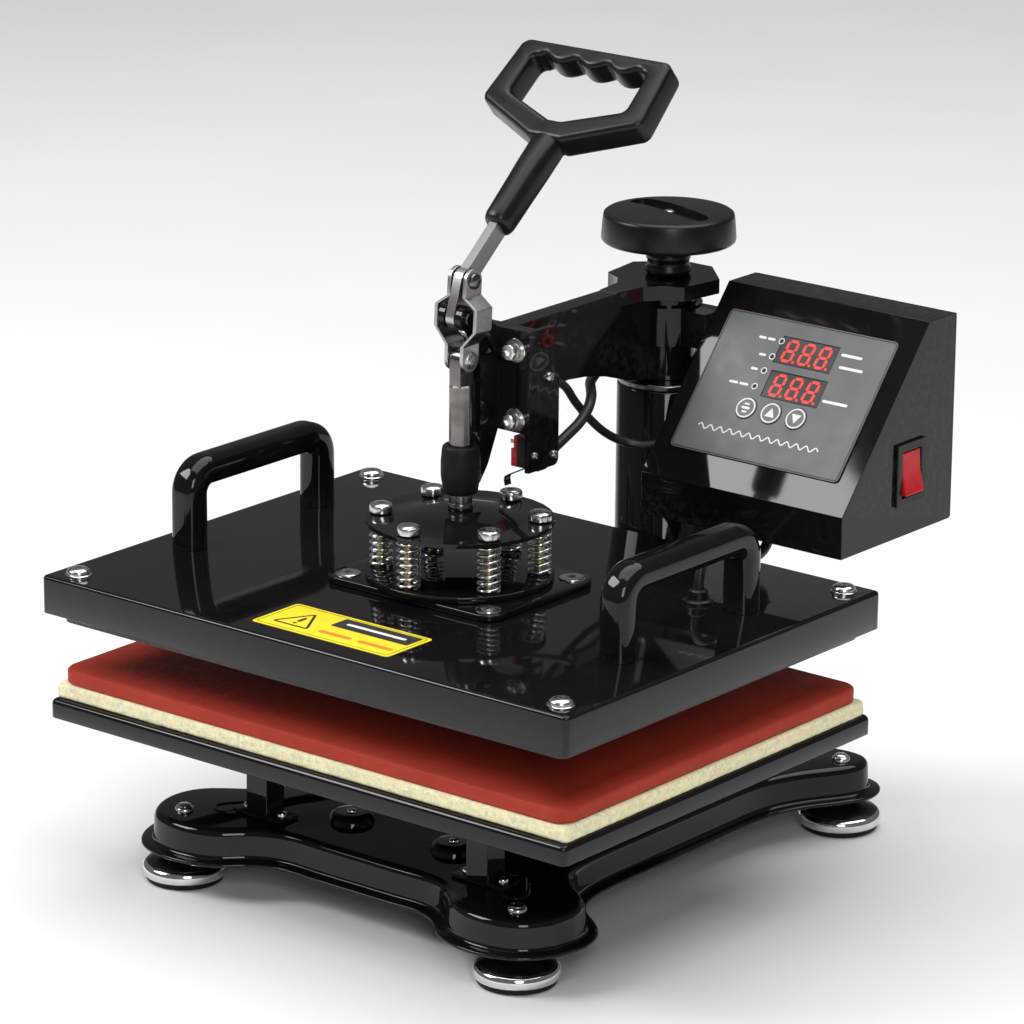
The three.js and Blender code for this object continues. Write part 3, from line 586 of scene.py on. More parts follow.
# ---- base and feet ----
def base_shell():
    outline = inset(smooth_loop(outline_of("base")), 0.25)
    brim = -164
    levels = [(9.7, BASE_TOP - 2.2), (9.7, brim + 1), (9, brim), (0.6, brim), (0, brim + 0.6),
              (0, brim + 1.6), (0.6, brim + 2.2), (5, brim + 2.2), (6.4, brim + 2.6),
              (7.2, brim + 3.6), (7.5, brim + 5), (7.8, BASE_TOP - 5)]
    levels += [(12.8 - x, z) for x, z in arc(0, BASE_TOP - 5, 5, 0, 90, 6)[1:]]
    shell = layered("base_shell", outline, levels, PAINT, "base", spot(), sharp=50)
    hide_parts("base")
    for side, tag in ((-1, "left"), (1, "right")):
        boss = [(14.5, -0.8), (14, 0), (13.4, 2.2), (12.2, 4.8), (10.4, 5.9), (8, 6), (3.2, 6),
                (3, 5.2), (0, 5.2)]
        lathe(f"boss_{tag}", [(0, -0.8), *boss], PAINT, "base", spot(side * 39, -52, BASE_TOP))
        pan_screw(f"boss_screw_{tag}", 3, "base", spot(side * 39, -52, BASE_TOP + 5.2))
        oval = moved(rounded_rect(40, 17, 8.4), side * 103, -74, side * -0.9)
        ridge(f"oval_{tag}", oval, 0.9, 2.4, PAINT, "base", spot(z=BASE_TOP))
    for i, x in enumerate((-60, -30, 30, 60)):
        hole = rounded_rect(9, 5, 2.4)
        ridge(f"vent_{i + 1}", moved(hole, x, 12), 0.6, 1.2, PAINT, "base", spot(z=BASE_TOP))


def pan_screw(name, r, body, matrix, look=NICKEL):
    """A small pan head, with a shallow hexagon socket in place of a cross recess."""
    profile = [(0, -0.4), (r, -0.4), (r, 0.35 * r), (0.9 * r, 0.6 * r), (0.55 * r, 0.78 * r)]
    return socket_head(name, profile, 0.3 * r, 0.4 * r, look, body, matrix)


def feet():
    for node in [n for n in frame["nodes"] if n.startswith("foot_")]:
        mid = middle(node)
        place = spot(mid.x, mid.y, FLOOR)
        sole = [(0, 0), (21.6, 0), (23, 0.8), (23.6, 2.4), (23.4, 4), (22, 5), (0, 5)]
        made = lathe(f"{node}_sole", sole, RUBBER, "base", place, 72)
        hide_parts(node)
        cup = [(22, 3.2), (24, 3.4), (25.1, 4.8), (25.6, 6.6), (25.5, 8.6), (24.7, 10.4),
               (23.4, 11.4), (21, 11.8), (21, 4.6)]
        lathe(f"{node}_cup", cup, CHROME, "base", place, 72, closed=True, sharp=50)
        cap = [(0, 10.6), (22.6, 10.8), (22.9, 11.9), (21, 13), (14, 15.9), (7.4, 17.9),
               (5, 18.6), (4.1, 19), (0, 19)]
        lathe(f"{node}_cap", cap, PLASTIC, "base", place, 64)
        stud = [(0, 18), (4, 18), (4, 46.2), (3.5, 46.6), (1.4, 46.9), (0, 46.9)]
        lathe(f"{node}_stud", stud, NICKEL, "base", place, 32)
        hex_nut(f"{node}_nut", 8, 5, 4, NICKEL, "base", spot(mid.x, mid.y, BASE_TOP - 8))
        head = [(0, -0.3), (5.6, -0.3), (5.6, 1.2), (4.9, 2.2), (3, 2.9)]
        socket_head(f"{node}_top", head, 1.6, 1, NICKEL, "base", spot(mid.x, mid.y, BASE_TOP))


# ---- post ----
def post():
    foot = BASE_TOP + 0.3
    profile = [(27, foot), (47, foot), (48, foot + 1), (48, foot + 5), (47, foot + 6),
               (34.5, foot + 6.4), (31.8, foot + 7.6), (30.8, foot + 10), (30.8, -19),
               (30.1, -18), (30, 80.6), (29.4, 81.6), (28, 82), (27, 82)]
    shell = lathe("post_shell", profile, PAINT, "base", spot(0, POST_Y), 96, closed=True, sharp=50)
    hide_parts("post")
    for x, y in mirror_pairs(28, 28):
        head = [(0, -0.2), (4.4, -0.2), (4.4, 3.4), (4, 4)]
        socket_head(f"flange_screw_{'l' if x < 0 else 'r'}{'f' if y < 0 else 'b'}", head, 2.1, 2,
                    NICKEL, "base", spot(x, POST_Y + y, foot + 6))


# ---- lower platen ----
def platen_tray():
    low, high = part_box("lower_platen")
    w, d = (high.x - low.x) * 1000, (high.y - low.y) * 1000
    top, bottom = (high.z - DATUM.z) * 1000, (low.z - DATUM.z) * 1000
    levels = [(2.5, top - 2.5), (2.5, bottom + 0.4), (2.1, bottom), (0.5, bottom),
              (0, bottom + 0.5), (0, top - 3.6)]
    levels += [(3.6 - x, z) for x, z in arc(0, top - 3.6, 3.6, 0, 90, 6)[1:]]
    shell = layered("tray_shell", rounded_rect(w, d, 4, 6), levels, PAINT, "base", spot(), 50)
    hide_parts("lower_platen")


def walked(outline, step):
    """The outline with extra points, so that no stretch is longer than the step."""
    out = []
    for (ax, ay), (bx, by) in zip(outline, outline[1:] + outline[:1]):
        parts = max(1, math.ceil(math.hypot(bx - ax, by - ay) / step))
        out += [(ax + (bx - ax) * i / parts, ay + (by - ay) * i / parts) for i in range(parts)]
    return out


def cut_sheet(name, node, corner, look, rough, edge):
    """A soft sheet cut by hand: its sides wander by a fraction of a millimetre."""
    low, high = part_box(node)
    mid = middle(node)
    size = (high - low) * 1000
    outline = moved(walked(rounded_rect(size.x, size.y, corner, 6), 2.2), mid.x, mid.y)
    rings = []
    for i in range(9):
        z = size.z * i / 8
        rim = min(z, size.z - z)
        back = edge * max(0, 1 - rim / edge) ** 2 if edge else 0
        ring = []
        for x, y in inset(outline, rough + 0.1):
            shift = rough * grain(Vector((x, y, z * 1.4)) * 0.55, 3)
            ring.append((x * (1 + (shift - back) / size.x * 2), y + shift - back * sign(y, size.y),
                         mid.z - size.z / 2 + z))
        rings.append(ring)
    made = stack(name, rings, look, "base", spot(), sharp=60)
    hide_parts(node)
    return made


def sign(value, span):
    """1 or -1 near the two ends of a span, and smoothly between."""
    return max(-1, min(1, 2 * value / span))


def grain(place, octaves):
    return noise.fractal(place, 1.0, 2.0, octaves)


def lower_platen():
    platen_tray()
    cut_sheet("foam_sheet", "foam_layer", 3, FOAM, 0.45, 0.8)
    cut_sheet("silicone_sheet", "silicone_pad", 11, SILICONE, 0.12, 0.9)
    for node in ("leg_left", "leg_right"):
        refine(node)
        mid = middle(node)
        for x in (-13, 13):
            pan_screw(f"{node}_screw_{'a' if x < 0 else 'b'}", 3.2, "base",
                      spot(mid.x + x, mid.y, BASE_TOP + 2.7))
    refine("rear_support")
    refine("lift_nut", 0.4)


# ---- head ----
def housing():
    low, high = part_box("housing")
    w, d = (high.x - low.x) * 1000, (high.y - low.y) * 1000
    bottom = (low.z - DATUM.z) * 1000
    levels = [(1.5, -1.5), (1.5, bottom + 0.3), (1.2, bottom), (0.3, bottom), (0, bottom + 0.3),
              (0, -2.2)]
    levels += [(2.2 - x, z) for x, z in arc(0, -2.2, 2.2, 0, 90, 5)[1:]]
    shell = layered("housing_shell", rounded_rect(w, d, 3.4, 6), levels, PAINT, "head", spot(), 50)
    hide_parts("housing")
    refine("heat_plate", 0.4)
    refine("insulation", 0)
    for i, (x, y) in enumerate(mirror_pairs(*CORNER_SCREW)):
        washer = [(0, -0.3), (8, -0.3), (8, 0.5), (7.4, 0.9), (0, 0.9)]
        lathe(f"corner_washer_{i + 1}", washer, NICKEL, "head", spot(x, y), 48)
        head = [(0, 0.6), (6.9, 0.6), (7, 1.6), (6.6, 2.9), (5.4, 3.9), (3.4, 4.3)]
        socket_head(f"corner_screw_{i + 1}", head, 2.3, 1.8, NICKEL, "head", spot(x, y))
    gland = [(0, -1), (9, -1), (9, 1.4), (8.4, 2), (6.4, 2.4), (5.6, 7), (4.6, 8), (3.3, 8.2),
             (0, 8.2)]
    lathe("lead_gland", gland, PLASTIC, "head", spot(*LEAD_HOLE), 48)


def mount():
    made = plate("mount_plate_shell", rounded_rect(128, 100, 10), 0.3, 4.3, 0.9, PAINT, "head",
                 spot())
    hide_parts("mount_plate")
    for i, (x, y) in enumerate(mirror_pairs(*MOUNT_SCREW)):
        head = [(0, -1), (7.6, -1), (7.8, 0), (7.5, 0.7), (6.4, 1.1), (3.2, 1.2)]
        socket_head(f"mount_screw_{i + 1}", head, 2.7, 1.6, NICKEL, "head", spot(x, y, 4.3))
    lower = plate("lower_disc_plate", disc(55.5, 96), 4.6, 8.6, 0.8, PAINT, "head", spot())
    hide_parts("lower_disc")
    upper = refine("upper_disc", 0.6)
    upper.data.set_sharp_from_angle(angle=math.radians(50))


def spring_path(x, y, r, z0, z1, turns):
    """A coil whose first and last turns lie flat."""
    flat_turns, flat_rise, turn_steps = 0.8, 0.9, 26
    steps = int(turns * turn_steps)
    span = z1 - z0 - 2 * flat_rise
    points = []
    for i in range(steps + 1):
        turn = turns * i / steps
        rise = max(0.0, min(1.0, (turn - flat_turns) / (turns - 2 * flat_turns)))
        lift = flat_rise * (min(turn, flat_turns) - min(0, turns - flat_turns - turn)) / flat_turns
        a = 2 * math.pi * turn
        points.append((x + r * math.cos(a), y + r * math.sin(a), z0 + lift + span * rise))
    return points


def spring_bolts():
    low_disc, high_disc, wire, turns = 8.6, 38.0, 1.05, 7.6
    for i, a in enumerate(BOLT_ANGLES):
        t = math.radians(a)
        x, y = BOLT_RING * math.cos(t), BOLT_RING * math.sin(t)
        shank = [(0, low_disc - 1), (2.9, low_disc - 1), (2.9, 41.6), (0, 41.6)]
        lathe(f"bolt_shank_{i + 1}", shank, YELLOW_ZINC, "head", spot(x, y), 24)
        head = [(0, 40.9), (6.2, 40.9), (6.9, 41.5), (6.9, 44.6), (6.6, 45.6), (5.6, 46.3),
                (3.2, 46.7)]
        socket_head(f"bolt_head_{i + 1}", head, 2.2, 2, NICKEL, "head", spot(x, y))
        path = spring_path(x, y, 6.1, low_disc + wire, high_disc - wire, turns)
        coil = sweep(f"coil_{i + 1}", path, disc(wire, 10), WIRE, "head", spot(),
                     sharp=80)
        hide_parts(f"spring_{i + 1}")
        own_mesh(coil)


def grab_handles():
    half, height, reach, y = 58, 55, 13, 8
    section = rounded_rect(18, 20, 7, 5)
    for node in ("grab_handle_left", "grab_handle_right"):
        low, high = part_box(node)
        x = ((low.x + high.x) / 2 - DATUM.x) * 1000
        top = height - 9
        path = [(x, y - half, 0.2), (x, y - half, 12), (x, y - half, top - reach)]
        path += [(x, y + a, b) for a, b in arc(-half + reach, top - reach, reach, 180, 90, 10)[1:]]
        path += [(x, y + a, b) for a, b in arc(half - reach, top - reach, reach, 90, 0, 10)]
        path += [(x, y + half, 12), (x, y + half, 0.2)]
        made = sweep(f"{node}_bar", path, section, PAINT, "head", spot(), up=(1, 0, 0), sharp=60)
        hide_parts(node)


def label():
    """A plain two-part sticker with a triangle and blocks in place of words."""
    x, y = 5, -112
    w, h = 102, 41
    plate("label_sheet", moved(rounded_rect(w, h, 2.5, 5), x, y), 0.02, 0.3, 0.05, YELLOW_LABEL,
          "head", spot())
    ink("label_rim", moved(rounded_rect(w - 4, h - 4, 1.8, 5), x, y), BLACK_INK, width=0.5)
    triangle = [(-43, -12.5), (-15, -12.5), (-29, 12.5)]
    rounded = round_corners([(x + a, y + b) for a, b in triangle], 2.2)
    ink("label_triangle", rounded, BLACK_INK, width=1.7)
    for i, (b, tall) in enumerate(((-1, 8), (-7.6, 2.4))):
        ink(f"label_mark_{i + 1}", moved(rounded_rect(2.6, tall, 1, 3), x - 29, y + b), BLACK_INK)
    ink("label_block", moved(rounded_rect(57, 15, 1, 3), x + 18, y + 9.4), BLACK_INK)
    ink("label_dash", moved(rounded_rect(44, 3, 1.4, 4), x + 18, y + 9.4), WHITE_INK, 0.36)
    for i, (a, bw) in enumerate(((3, 24), (33, 26))):
        ink(f"label_bar_{i + 1}", moved(rounded_rect(bw, 4, 1.8, 4), x + a, y - 9.4), ORANGE_INK)


def ink(name, outline, look, lift=0.3, body="head", matrix=None, width=None):
    """A printed shape, 0.05 mm thick: filled, or a strip of some width along its outline."""
    top = lift + 0.05
    levels = [(0, lift), (0, top)] + ([(width, top), (width, lift)] if width else [])
    return layered(name, outline, levels, look, body, matrix or spot(), 30, width is not None)


def round_corners(points, r, steps=5):
    """A convex or concave polygon with its corners rounded."""
    out = []
    count = len(points)
    for i, p in enumerate(points):
        a, b, c = (Vector(q) for q in (points[i - 1], p, points[(i + 1) % count]))
        back, ahead = (a - b).normalized(), (c - b).normalized()
        half = math.acos(max(-1, min(1, back.dot(ahead)))) / 2
        reach = min(r / max(math.tan(half), 0.2), (a - b).length * 0.45, (c - b).length * 0.45)
        p0, p1 = b + back * reach, b + ahead * reach
        for k in range(steps + 1):
            t = k / steps
            q = p0 * (1 - t) ** 2 + b * 2 * t * (1 - t) + p1 * t * t
            out.append((q.x, q.y))
    return out


# ---- plunger, toggle and grip ----
def plunger():
    refine("plunger", 0.35, look=STEEL)
    collar = [(0, 39), (7.4, 39), (7.4, 44.4), (7.1, 44.8), (7.1, 45.4), (7.3, 45.8), (7.3, 49.4),
              (7.05, 49.8), (0, 49.8)]
    lathe("rod_collar", collar, STEEL, "plunger", spot(), 64)
    sleeve = [(7.4, 55.3), (8.8, 55.3), (9.8, 55.8), (10.3, 57), (10.7, 60), (11.5, 64.5),
              (11.7, 67), (11.7, 75), (11.4, 77.6), (11.1, 81.6), (10.6, 83.6), (9.6, 84.5),
              (7.4, 84.5)]
    made = lathe("sleeve_boot", sleeve, RUBBER, "arm", spot(), 72, closed=True, sharp=60)
    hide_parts("guide_sleeve")


def toggle():
    for node in ("link_left", "link_right"):
        refine(node, angle=24)
    refine("link_pin", 0.3)
    refine("lever", 0.7)
    refine("pivot_pin", 0.4)


def rounded_ring(name, outer, window, half, rim, look, body, matrix):
    """A flat ring with a window, its rims rounded all the way round."""
    flat = bpy.data.curves.new(name, "CURVE")
    flat.dimensions = "2D"
    flat.fill_mode = "BOTH"
    flat.extrude = half - rim
    flat.bevel_depth = rim
    flat.bevel_resolution = 5
    flat.offset = -rim
    for outline in (outer, window):
        line = flat.splines.new("POLY")
        line.points.add(len(outline) - 1)
        for point, (x, y) in zip(line.points, outline):
            point.co = (x, y, 0, 1)
        line.use_cyclic_u = True
    drawn = bpy.data.objects.new(name, flat)
    mesh = bpy.data.meshes.new_from_object(drawn)
    verts = [v.co.copy() for v in mesh.vertices]
    faces = [list(p.vertices) for p in mesh.polygons]
    bpy.data.objects.remove(drawn)
    bpy.data.curves.remove(flat)
    bpy.data.meshes.remove(mesh)
    return piece(name, verts, faces, look, body, matrix, 60)


def grip():
    """The D-shaped pull: a rounded ring with finger scallops, and the neck that holds it."""
    place = spot(0, *GRIP_BASE, Matrix.Rotation(GRIP_TILT, 4, "X"))
    outer = [(-12, 59.5), (12, 59.5), (57, 79), (59, 83), (55.5, 123.5), (51.5, 127.5),
             (-51.5, 127.5), (-55.5, 123.5), (-59, 83), (-57, 79)]
    spans = [36 - 72 * i / 48 for i in range(49)]
    scallops = [(x, 118.8 - 4.7 * math.hypot(math.cos(x / 23 * math.pi), 0.08)) for x in spans]
    corners = [(-42, 116.5), (-43, 88), (-5, 73.5), (5, 73.5), (43, 88), (42, 116.5)]
    window = round_corners(corners, 5)
    window = [p for p in window if not (abs(p[0]) < 36.5 and p[1] > 110)] + scallops
    made = rounded_ring("grip_ring", round_corners(outer, 6), window, 9, 3.6, PLASTIC, "handle",
                        place)
    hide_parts("grip")
    neck_sizes = [(-2, 6.6, 7.6), (-1.2, 7.4, 8.6), (0.6, 8.1, 9.3), (3, 8.5, 9.7), (14, 8.7, 9.9),
                  (26, 8.9, 10.1), (40, 9.4, 10.3), (52, 10, 9.8), (59, 10.6, 9.2), (65, 10.8, 8.7)]
    rings = []
    for s, rx, rn in neck_sizes:
        ring = []
        for i in range(56):
            t = 2 * math.pi * i / 56
            c, n = math.cos(t), math.sin(t)
            ring.append((rx * math.copysign(abs(c) ** 0.8, c), s,
                         rn * math.copysign(abs(n) ** 0.8, n)))
        rings.append(ring)
    stack("grip_neck", rings, PLASTIC, "handle", place, sharp=60)


# ---- arm, bracket and knob ----
def cap_screw(name, x, z, face_y):
    """A socket cap screw with its spring washer and flat washer, facing the front."""
    place = spot(x, face_y, z, Matrix.Rotation(math.pi / 2, 4, "X"))
    flat = [(2, -0.1), (7.4, -0.1), (7.4, 1), (7, 1.3), (2, 1.3)]
    lathe(f"{name}_washer", flat, NICKEL, "arm", place, 48, closed=True)
    split = [(2, 1.3), (5.8, 1.3), (5.8, 2.9), (2, 2.9)]
    lathe(f"{name}_spring_washer", split, ZINC, "arm", place, 40, closed=True)
    head = [(0, 2.9), (4.7, 2.9), (4.9, 3.3), (4.9, 7.2), (4.4, 7.9), (3.2, 8)]
    socket_head(f"{name}_head", head, 2.6, 2.6, NICKEL, "arm", place)


def arm():
    refine("arm", 1.0)
    refine("bracket", 0.9)
    refine("pivot_shaft")
    refine("box_strap", 0.6)
    refine("lift_screw", 0)
    for side, x in (("left", -19), ("right", 19)):
        for level, z in (("low", 97), ("high", 139)):
            cap_screw(f"bracket_screw_{side}_{level}", x, z, 27)
    turn = Matrix.Rotation(math.pi / 2, 4, "Y")
    for i, (y, z, r) in enumerate(((45, 121, 3.2), (50, 73, 2.6), (32, 76, 2.2))):
        pan_screw(f"flange_pan_{i + 1}", r, "arm", spot(29, y, z, turn))


def knob():
    axis = [(0, 149.3), (12, 149.3), (13, 149.9), (13.8, 151), (13.8, 153.4), (12.9, 154.4),
            (12.8, 158), (13.6, 159), (13.6, 161.6), (12.8, 162.6), (12.8, 167.7), (14, 168.7),
            (36.6, 168.7), (39.6, 169.3), (40.8, 170.5), (41, 172), (40.6, 178), (39.9, 185),
            (39.5, 186.4), (38.3, 187.3), (36.5, 187.6), (28, 188.6), (14, 189.7), (0, 190.1)]
    cap = lathe("knob_cap", axis, PLASTIC, "knob", spot(0, POST_Y), 112, sharp=50)
    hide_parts("knob")
    turned = spot(0, POST_Y, 0, Matrix.Rotation(KNOB_TURN, 4, "Z"))
    groove = [(1.6, 181.3), (1, 181.7), (0, 184), (0, 193)]
    cutter = layered("knob_cutter", rounded_rect(66, 15, 7.4), groove, PLASTIC, "knob", turned)
    carve(cap, cutter)
    layered("knob_fin", rounded_rect(52, 5, 2.4), [(0, 181), (0, 185.2), (0.8, 186.2)],
            PLASTIC, "knob", turned, 50)
    pan_screw("knob_screw", 3.6, "knob", spot(0, POST_Y, 185.4), ZINC)


def carve(made, cutter):
    """Cuts one closed piece out of another and keeps the result as its mesh."""
    change = made.modifiers.new("carve", "BOOLEAN")
    change.object = cutter
    change.solver = "EXACT"
    bpy.context.view_layer.update()
    graph = bpy.context.evaluated_depsgraph_get()
    done = bpy.data.meshes.new_from_object(made.evaluated_get(graph))
    made.modifiers.clear()
    made.data = done
    done.set_sharp_from_angle(angle=math.radians(50))
    bpy.data.objects.remove(cutter)


# ---- limit switch ----
def limit_switch():
    """A snap switch: black body, thin red cover, two terminals and a bent steel blade."""
    turn = Matrix.Rotation(math.pi / 2, 4, "X")
    depth = [(0.4, 0), (0, 0.4), (0, 8.8), (0.4, 9.2)]
    cover = [(4.2, 63.2), (8.6, 63.2), (8.6, 81.8), (6.2, 81.8), (6.2, 73.8), (4.2, 73.8)]
    body = [(8.9, 63.2), (24.3, 63.2), (24.3, 73.8), (22.3, 73.8), (22.3, 81.8), (8.9, 81.8)]
    made = layered("switch_case", body, depth, PLASTIC, "arm", spot(0, 50.3, 0, turn))
    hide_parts("limit_switch")
    layered("switch_cover", cover, depth, RED, "arm", spot(0, 50.3, 0, turn))
    for i, y in enumerate((43.6, 47.8)):
        layered(f"switch_tab_{i + 1}", moved(rounded_rect(4.6, 2.4, 0.6, 3), 4.6, 77.6),
                [(0, -0.3), (0, 0.3)], BRASS, "arm", spot(0, y, 0, turn))
    blade = [(13, 46, 62.6), (6, 46, 59), (0.2, 46, 56), (-1.6, 46, 54.8), (-2.2, 46, 53.4),
             (-1.9, 46, 51), (-1.5, 46, 49.2)]
    strip = [(-0.4, -2.7), (0.4, -2.7), (0.4, 2.7), (-0.4, 2.7)]
    lever = sweep("switch_blade", spline(blade, 5), strip, STEEL, "switch_lever", spot(),
                  up=(0, 1, 0), sharp=50)
    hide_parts("switch_lever")


# ---- control box ----
SEGMENT = [(-2.4, 0), (-1.7, 0.75), (1.7, 0.75), (2.4, 0), (1.7, -0.75), (-1.7, -0.75)]
DIGIT = [(0, 5.6, 0), (0, 0, 0), (0, -5.6, 0), (-2.75, 2.8, 1), (2.75, 2.8, 1),
         (-2.75, -2.8, 1), (2.75, -2.8, 1)]
DISPLAYS = (("temperature", 113.2, 94.4), ("time", 115.2, 71.6))


def digits():
    """Three lit eights and their points in each window, leaning a little."""
    lean = 0.1
    for name, x, s in DISPLAYS:
        verts, faces = [], []
        for place in (-12, 0, 12):
            shapes = []
            for dx, ds, upright in DIGIT:
                bar = [(b, a) if upright else (a, b) for a, b in SEGMENT]
                shapes.append([(place + 1.18 * (dx + a), 1.18 * (ds + b)) for a, b in bar])
            shapes.append([(place + 5.6 + a, -6.6 + b) for a, b in disc(0.85, 12)])
            for shape in shapes:
                base = len(verts)
                n = len(shape)
                for z in (1.0, 1.12):
                    verts += [(a + lean * b, b, z) for a, b in shape]
                faces.append([base + i for i in range(n)][::-1])
                faces.append([base + n + i for i in range(n)])
                faces += [[base + i, base + (i + 1) % n, base + n + (i + 1) % n, base + n + i]
                          for i in range(n)]
        piece(f"digits_{name}", verts, faces, LIT, "arm", on_slope(x, s))


def mark(name, outline, look=WHITE_INK, width=None):
    """A shape printed on the panel."""
    ink(name, outline, look, PANEL_FACE, "arm", on_slope(), width)


def legends():
    """Rings, icons and plain bars in place of the words on the panel."""
    rows = (("out", 92.6, 99.6, 12), ("c", 90.8, 88.8, 5), ("f", 89.6, 79, 5), ("work", 88, 68, 14))
    for name, x, s, length in rows:
        mark(f"lamp_{name}", moved(disc(2.1, 32), x, s), width=0.6)
        lamp = [(0, 0), (1.2, 0), (1.2, 0.2), (0.8, 0.4), (0, 0.5)]
        lathe(f"lamp_{name}_dome", lamp, DISPLAY, "arm", on_slope(x, s, PANEL_FACE), 24)
        for i in range(2 if length > 6 else 1):
            part = length / 2 - 0.6 if length > 6 else length
            at = x - 4.6 - part / 2 - i * (part + 1.2)
            mark(f"legend_{name}_{i + 1}", moved(rounded_rect(part, 1.6, 0.7, 3), at, s))
    for i, (x, s, length) in enumerate(((144, 99, 15), (147, 91, 17), (146.5, 68, 18))):
        mark(f"legend_side_{i + 1}", moved(rounded_rect(length, 1.8, 0.8, 3), x, s))
    wave = [(62 + 0.4 * i, 36.6 + 1.5 * math.sin(i * 0.36), PANEL_FACE + 0.02) for i in range(220)]
    sweep("legend_wave", wave, [(-0.42, -0.02), (0.42, -0.02), (0.42, 0.03), (-0.42, 0.03)],
          WHITE_INK, "arm", on_slope())
    mark("panel_rim", moved(rounded_rect(121.4, 92.9, 2.6, 5), *PANEL_MID), BLACK_INK, 0.7)


def buttons():
    icons = {"set": rounded_rect(6, 1.6, 0.7, 3),
             "up": [(-3.4, -2.6), (3.4, -2.6), (0, 3.4)],
             "down": [(-3.4, 2.6), (0, -3.4), (3.4, 2.6)]}
    for name, x in BUTTON_X.items():
        body = f"button_{name}"
        refine(body, 0.35)
        place = on_slope(x, BUTTON_S)
        ink(f"ring_{name}", disc(6.5, 48), WHITE_INK, BUTTON_FACE, body, place, 0.9)
        ink(f"icon_{name}", icons[name], WHITE_INK, BUTTON_FACE, body, place)
    for i, s in enumerate((-2.6, 2.6)):
        ink(f"icon_set_{i + 1}", moved(rounded_rect(3.6, 1.2, 0.5, 3), 0, s), WHITE_INK,
            BUTTON_FACE, "button_set", on_slope(BUTTON_X["set"], BUTTON_S))


def control_box():
    refine("control_box", 1.0)
    refine("box_back")
    refine("power_inlet")
    refine("circuit_board", 0)
    refine("panel", 0.25, 2)
    for name, _, _ in DISPLAYS:
        refine(f"display_{name}", 0.1, 2)
    refine("rocker_frame", 0.6)
    refine("rocker", 0.8)
    digits()
    legends()
    buttons()
    turn = Matrix.Rotation(-math.pi / 2, 4, "X")
    for i, (x, z) in enumerate(((42, 27), (179, 27), (42, 142), (179, 142))):
        pan_screw(f"back_screw_{i + 1}", 3, "arm", spot(x, BOX_BACK_Y, z, turn), ZINC)
    for i, x in enumerate((123, 155)):
        pan_screw(f"inlet_screw_{i + 1}", 1.4, "arm", spot(x, 240.6, 60, turn), ZINC)
    for i in range(7):
        layered(f"back_louvre_{i + 1}", rounded_rect(46, 4, 1.9),
                [(0, -0.3), (0, 0.5), (0.9, 1.3)], PAINT, "arm",
                spot(76, BOX_BACK_Y, 92 + 6.5 * i, turn))


# ---- leads ----
LEADS = {
    "arm_lead": (3.2, [
        (16, 53, 65), (16, 66, 70), (15.8, 80, 75.5), (15.4, 93, 81), (13.5, 103, 87.2),
        (8, 112.6, 91), (0.2, 122, 92.4), (-7, 131, 93.2), (-11.5, 142, 95.4), (-15, 155, 97),
        (-19.5, 169, 97.4), (-25.2, 182.4, 96.5), (-28, 198, 95.2), (-22.8, 214, 94),
        (-10.6, 226, 92.8), (5, 229.4, 91.4), (19, 226.6, 89.6), (30, 223, 88.4), (39, 222, 88),
        (48, 222, 88)]),
    "switch_lead": (2.6, [
        (19, 51, 109), (15, 62, 111), (10.8, 74, 109), (9.8, 85, 103), (8, 97, 91), (7, 110, 79),
        (7.6, 125, 66.5), (10, 135, 60), (15, 142, 56.5), (22, 146, 55.5), (31, 149.4, 57.4),
        (38, 150, 58), (46, 150, 58)]),
    "heater_lead": (3.1, [
        (128, 62, -6), (128, 62, 8), (128, 63.5, 18), (127.8, 68.5, 26.5), (127.2, 77, 31),
        (126.2, 87, 31), (125, 97, 27.2), (123.6, 107, 21), (122.2, 117, 14.6),
        (120.8, 127, 10.6), (119.8, 136.4, 11.8), (119.2, 143, 17.8), (119, 146, 27),
        (119, 146, 36)]),
}


def leads():
    """The leads, along the routes that their solids take; one rides on no body, its place baked
    into its mesh.
    """
    for node, (r, points) in LEADS.items():
        path = spline(points, 8)
        bends = node == "heater_lead"
        made = sweep(f"{node}_sheath", path, disc(r, 20), CABLE,
                     None if bends else "arm", spot(), sharp=60)
        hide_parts(node)
        if bends:
            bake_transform(made)
        line = [tuple(mm(*p)) for p in path]
        length = sum((Vector(b) - Vector(a)).length for a, b in zip(line, line[1:]))


# ---- stage ----
def area_light(name, place, aim, size, power):
    data = bpy.data.lights.new(name, "AREA")
    data.shape = "RECTANGLE"
    data.size, data.size_y = size
    data.energy = power
    lamp = add(name, data)
    lamp.location = place
    lamp.rotation_mode = "QUATERNION"
    lamp.rotation_quaternion = (Vector(aim) - Vector(place)).to_track_quat("-Z", "Y")


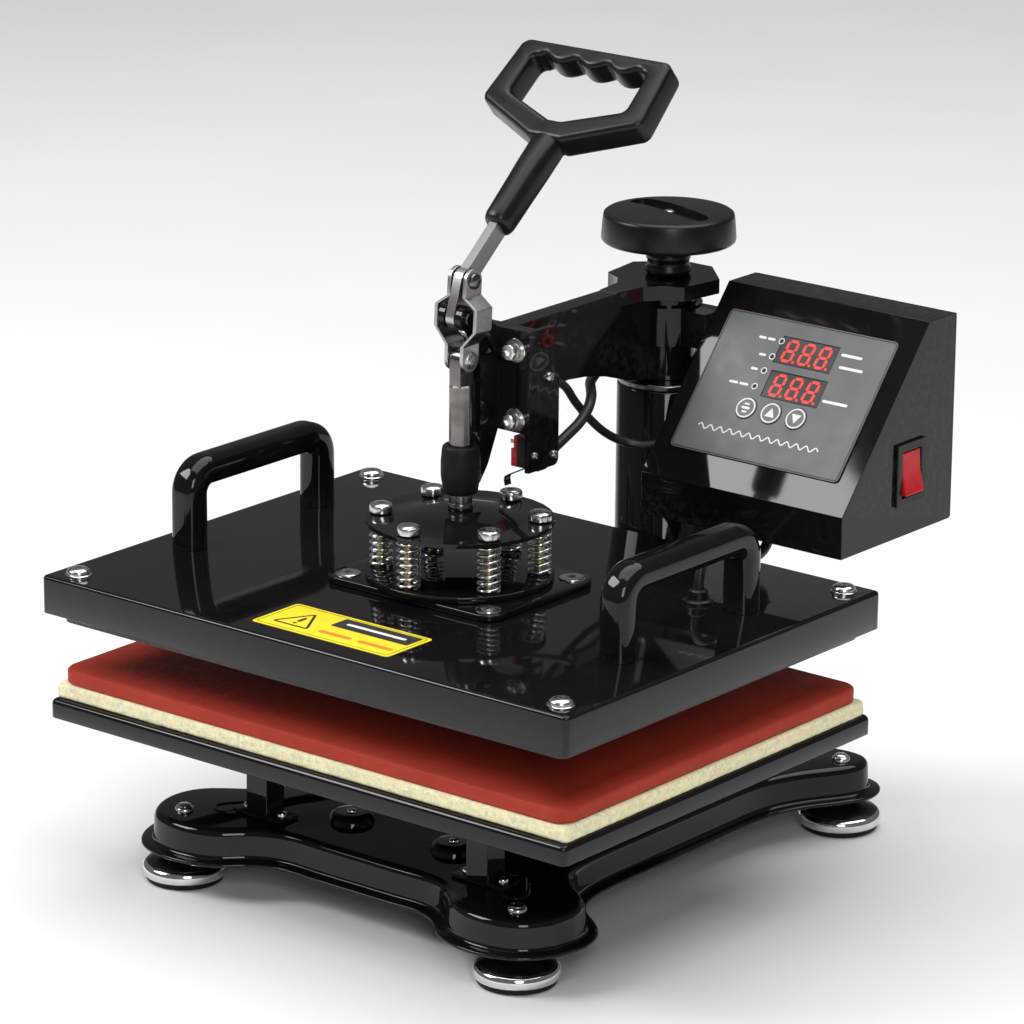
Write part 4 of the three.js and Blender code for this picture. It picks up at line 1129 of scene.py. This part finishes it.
def stage():
    mesh = bpy.data.meshes.new("floor")
    far = 14
    mesh.from_pydata([(-far, -far, 0), (far, -far, 0), (far, far, 0), (-far, far, 0)], [],
                     [[0, 1, 2, 3]])
    floor = add("floor", mesh)
    pale = Look("pale_floor", (0.82, 0.82, 0.82), 0.7, Specular_IOR_Level=0.2)
    pale.vary((0.81, 0.81, 0.81), (0.83, 0.83, 0.83), 3)
    mesh.materials.append(pale.material)
    world = bpy.data.worlds.new("studio")
    world.use_nodes = True
    sky = world.node_tree.nodes["Background"].inputs
    sky["Color"].default_value = (1.0, 0.94, 0.96, 1)
    sky["Strength"].default_value = 0.14
    bpy.context.scene.world = world
    aim = (0, 0, 0.2)
    area_light("key", (-1.7, -1.5, 2.1), aim, (1.3, 1.0), 48)
    area_light("fill", (2.2, -2.2, 1.5), aim, (1.0, 1.4), 30)
    area_light("top", (0.2, 0.5, 3.2), (0.2, 0.5, 0), (4, 4), 135)
    bpy.context.scene.view_settings.view_transform = "Standard"


def camera():
    """The photograph's view: a long lens, high on the front right."""
    azimuth, elevation, roll = math.radians(38.777), math.radians(17.037), math.radians(0.4986)
    back = Vector((math.sin(azimuth) * math.cos(elevation),
                   -math.cos(azimuth) * math.cos(elevation), math.sin(elevation)))
    level = Vector((math.cos(azimuth), math.sin(azimuth), 0))
    lift = back.cross(level)
    right = level * math.cos(roll) + lift * math.sin(roll)
    up = lift * math.cos(roll) - level * math.sin(roll)
    away, across, rise = 3099.955, 30.49, 41.471
    place = mm(0, 0, 0) + (back * away + right * across + up * rise) / 1000
    data = bpy.data.cameras.new("camera")
    data.lens = 185.96
    data.sensor_width = 36
    data.clip_start, data.clip_end = 0.05, 60
    seen = add("camera", data)
    seen.matrix_world = Matrix.Translation(place) @ Matrix((right, up, back)).transposed().to_4x4()
    bpy.context.scene.camera = seen


for build in (camera, base_shell, feet, post, lower_platen, housing, mount, spring_bolts,
              grab_handles, label, plunger, toggle, grip, arm, knob, limit_switch, control_box,
              leads, stage):
    build()
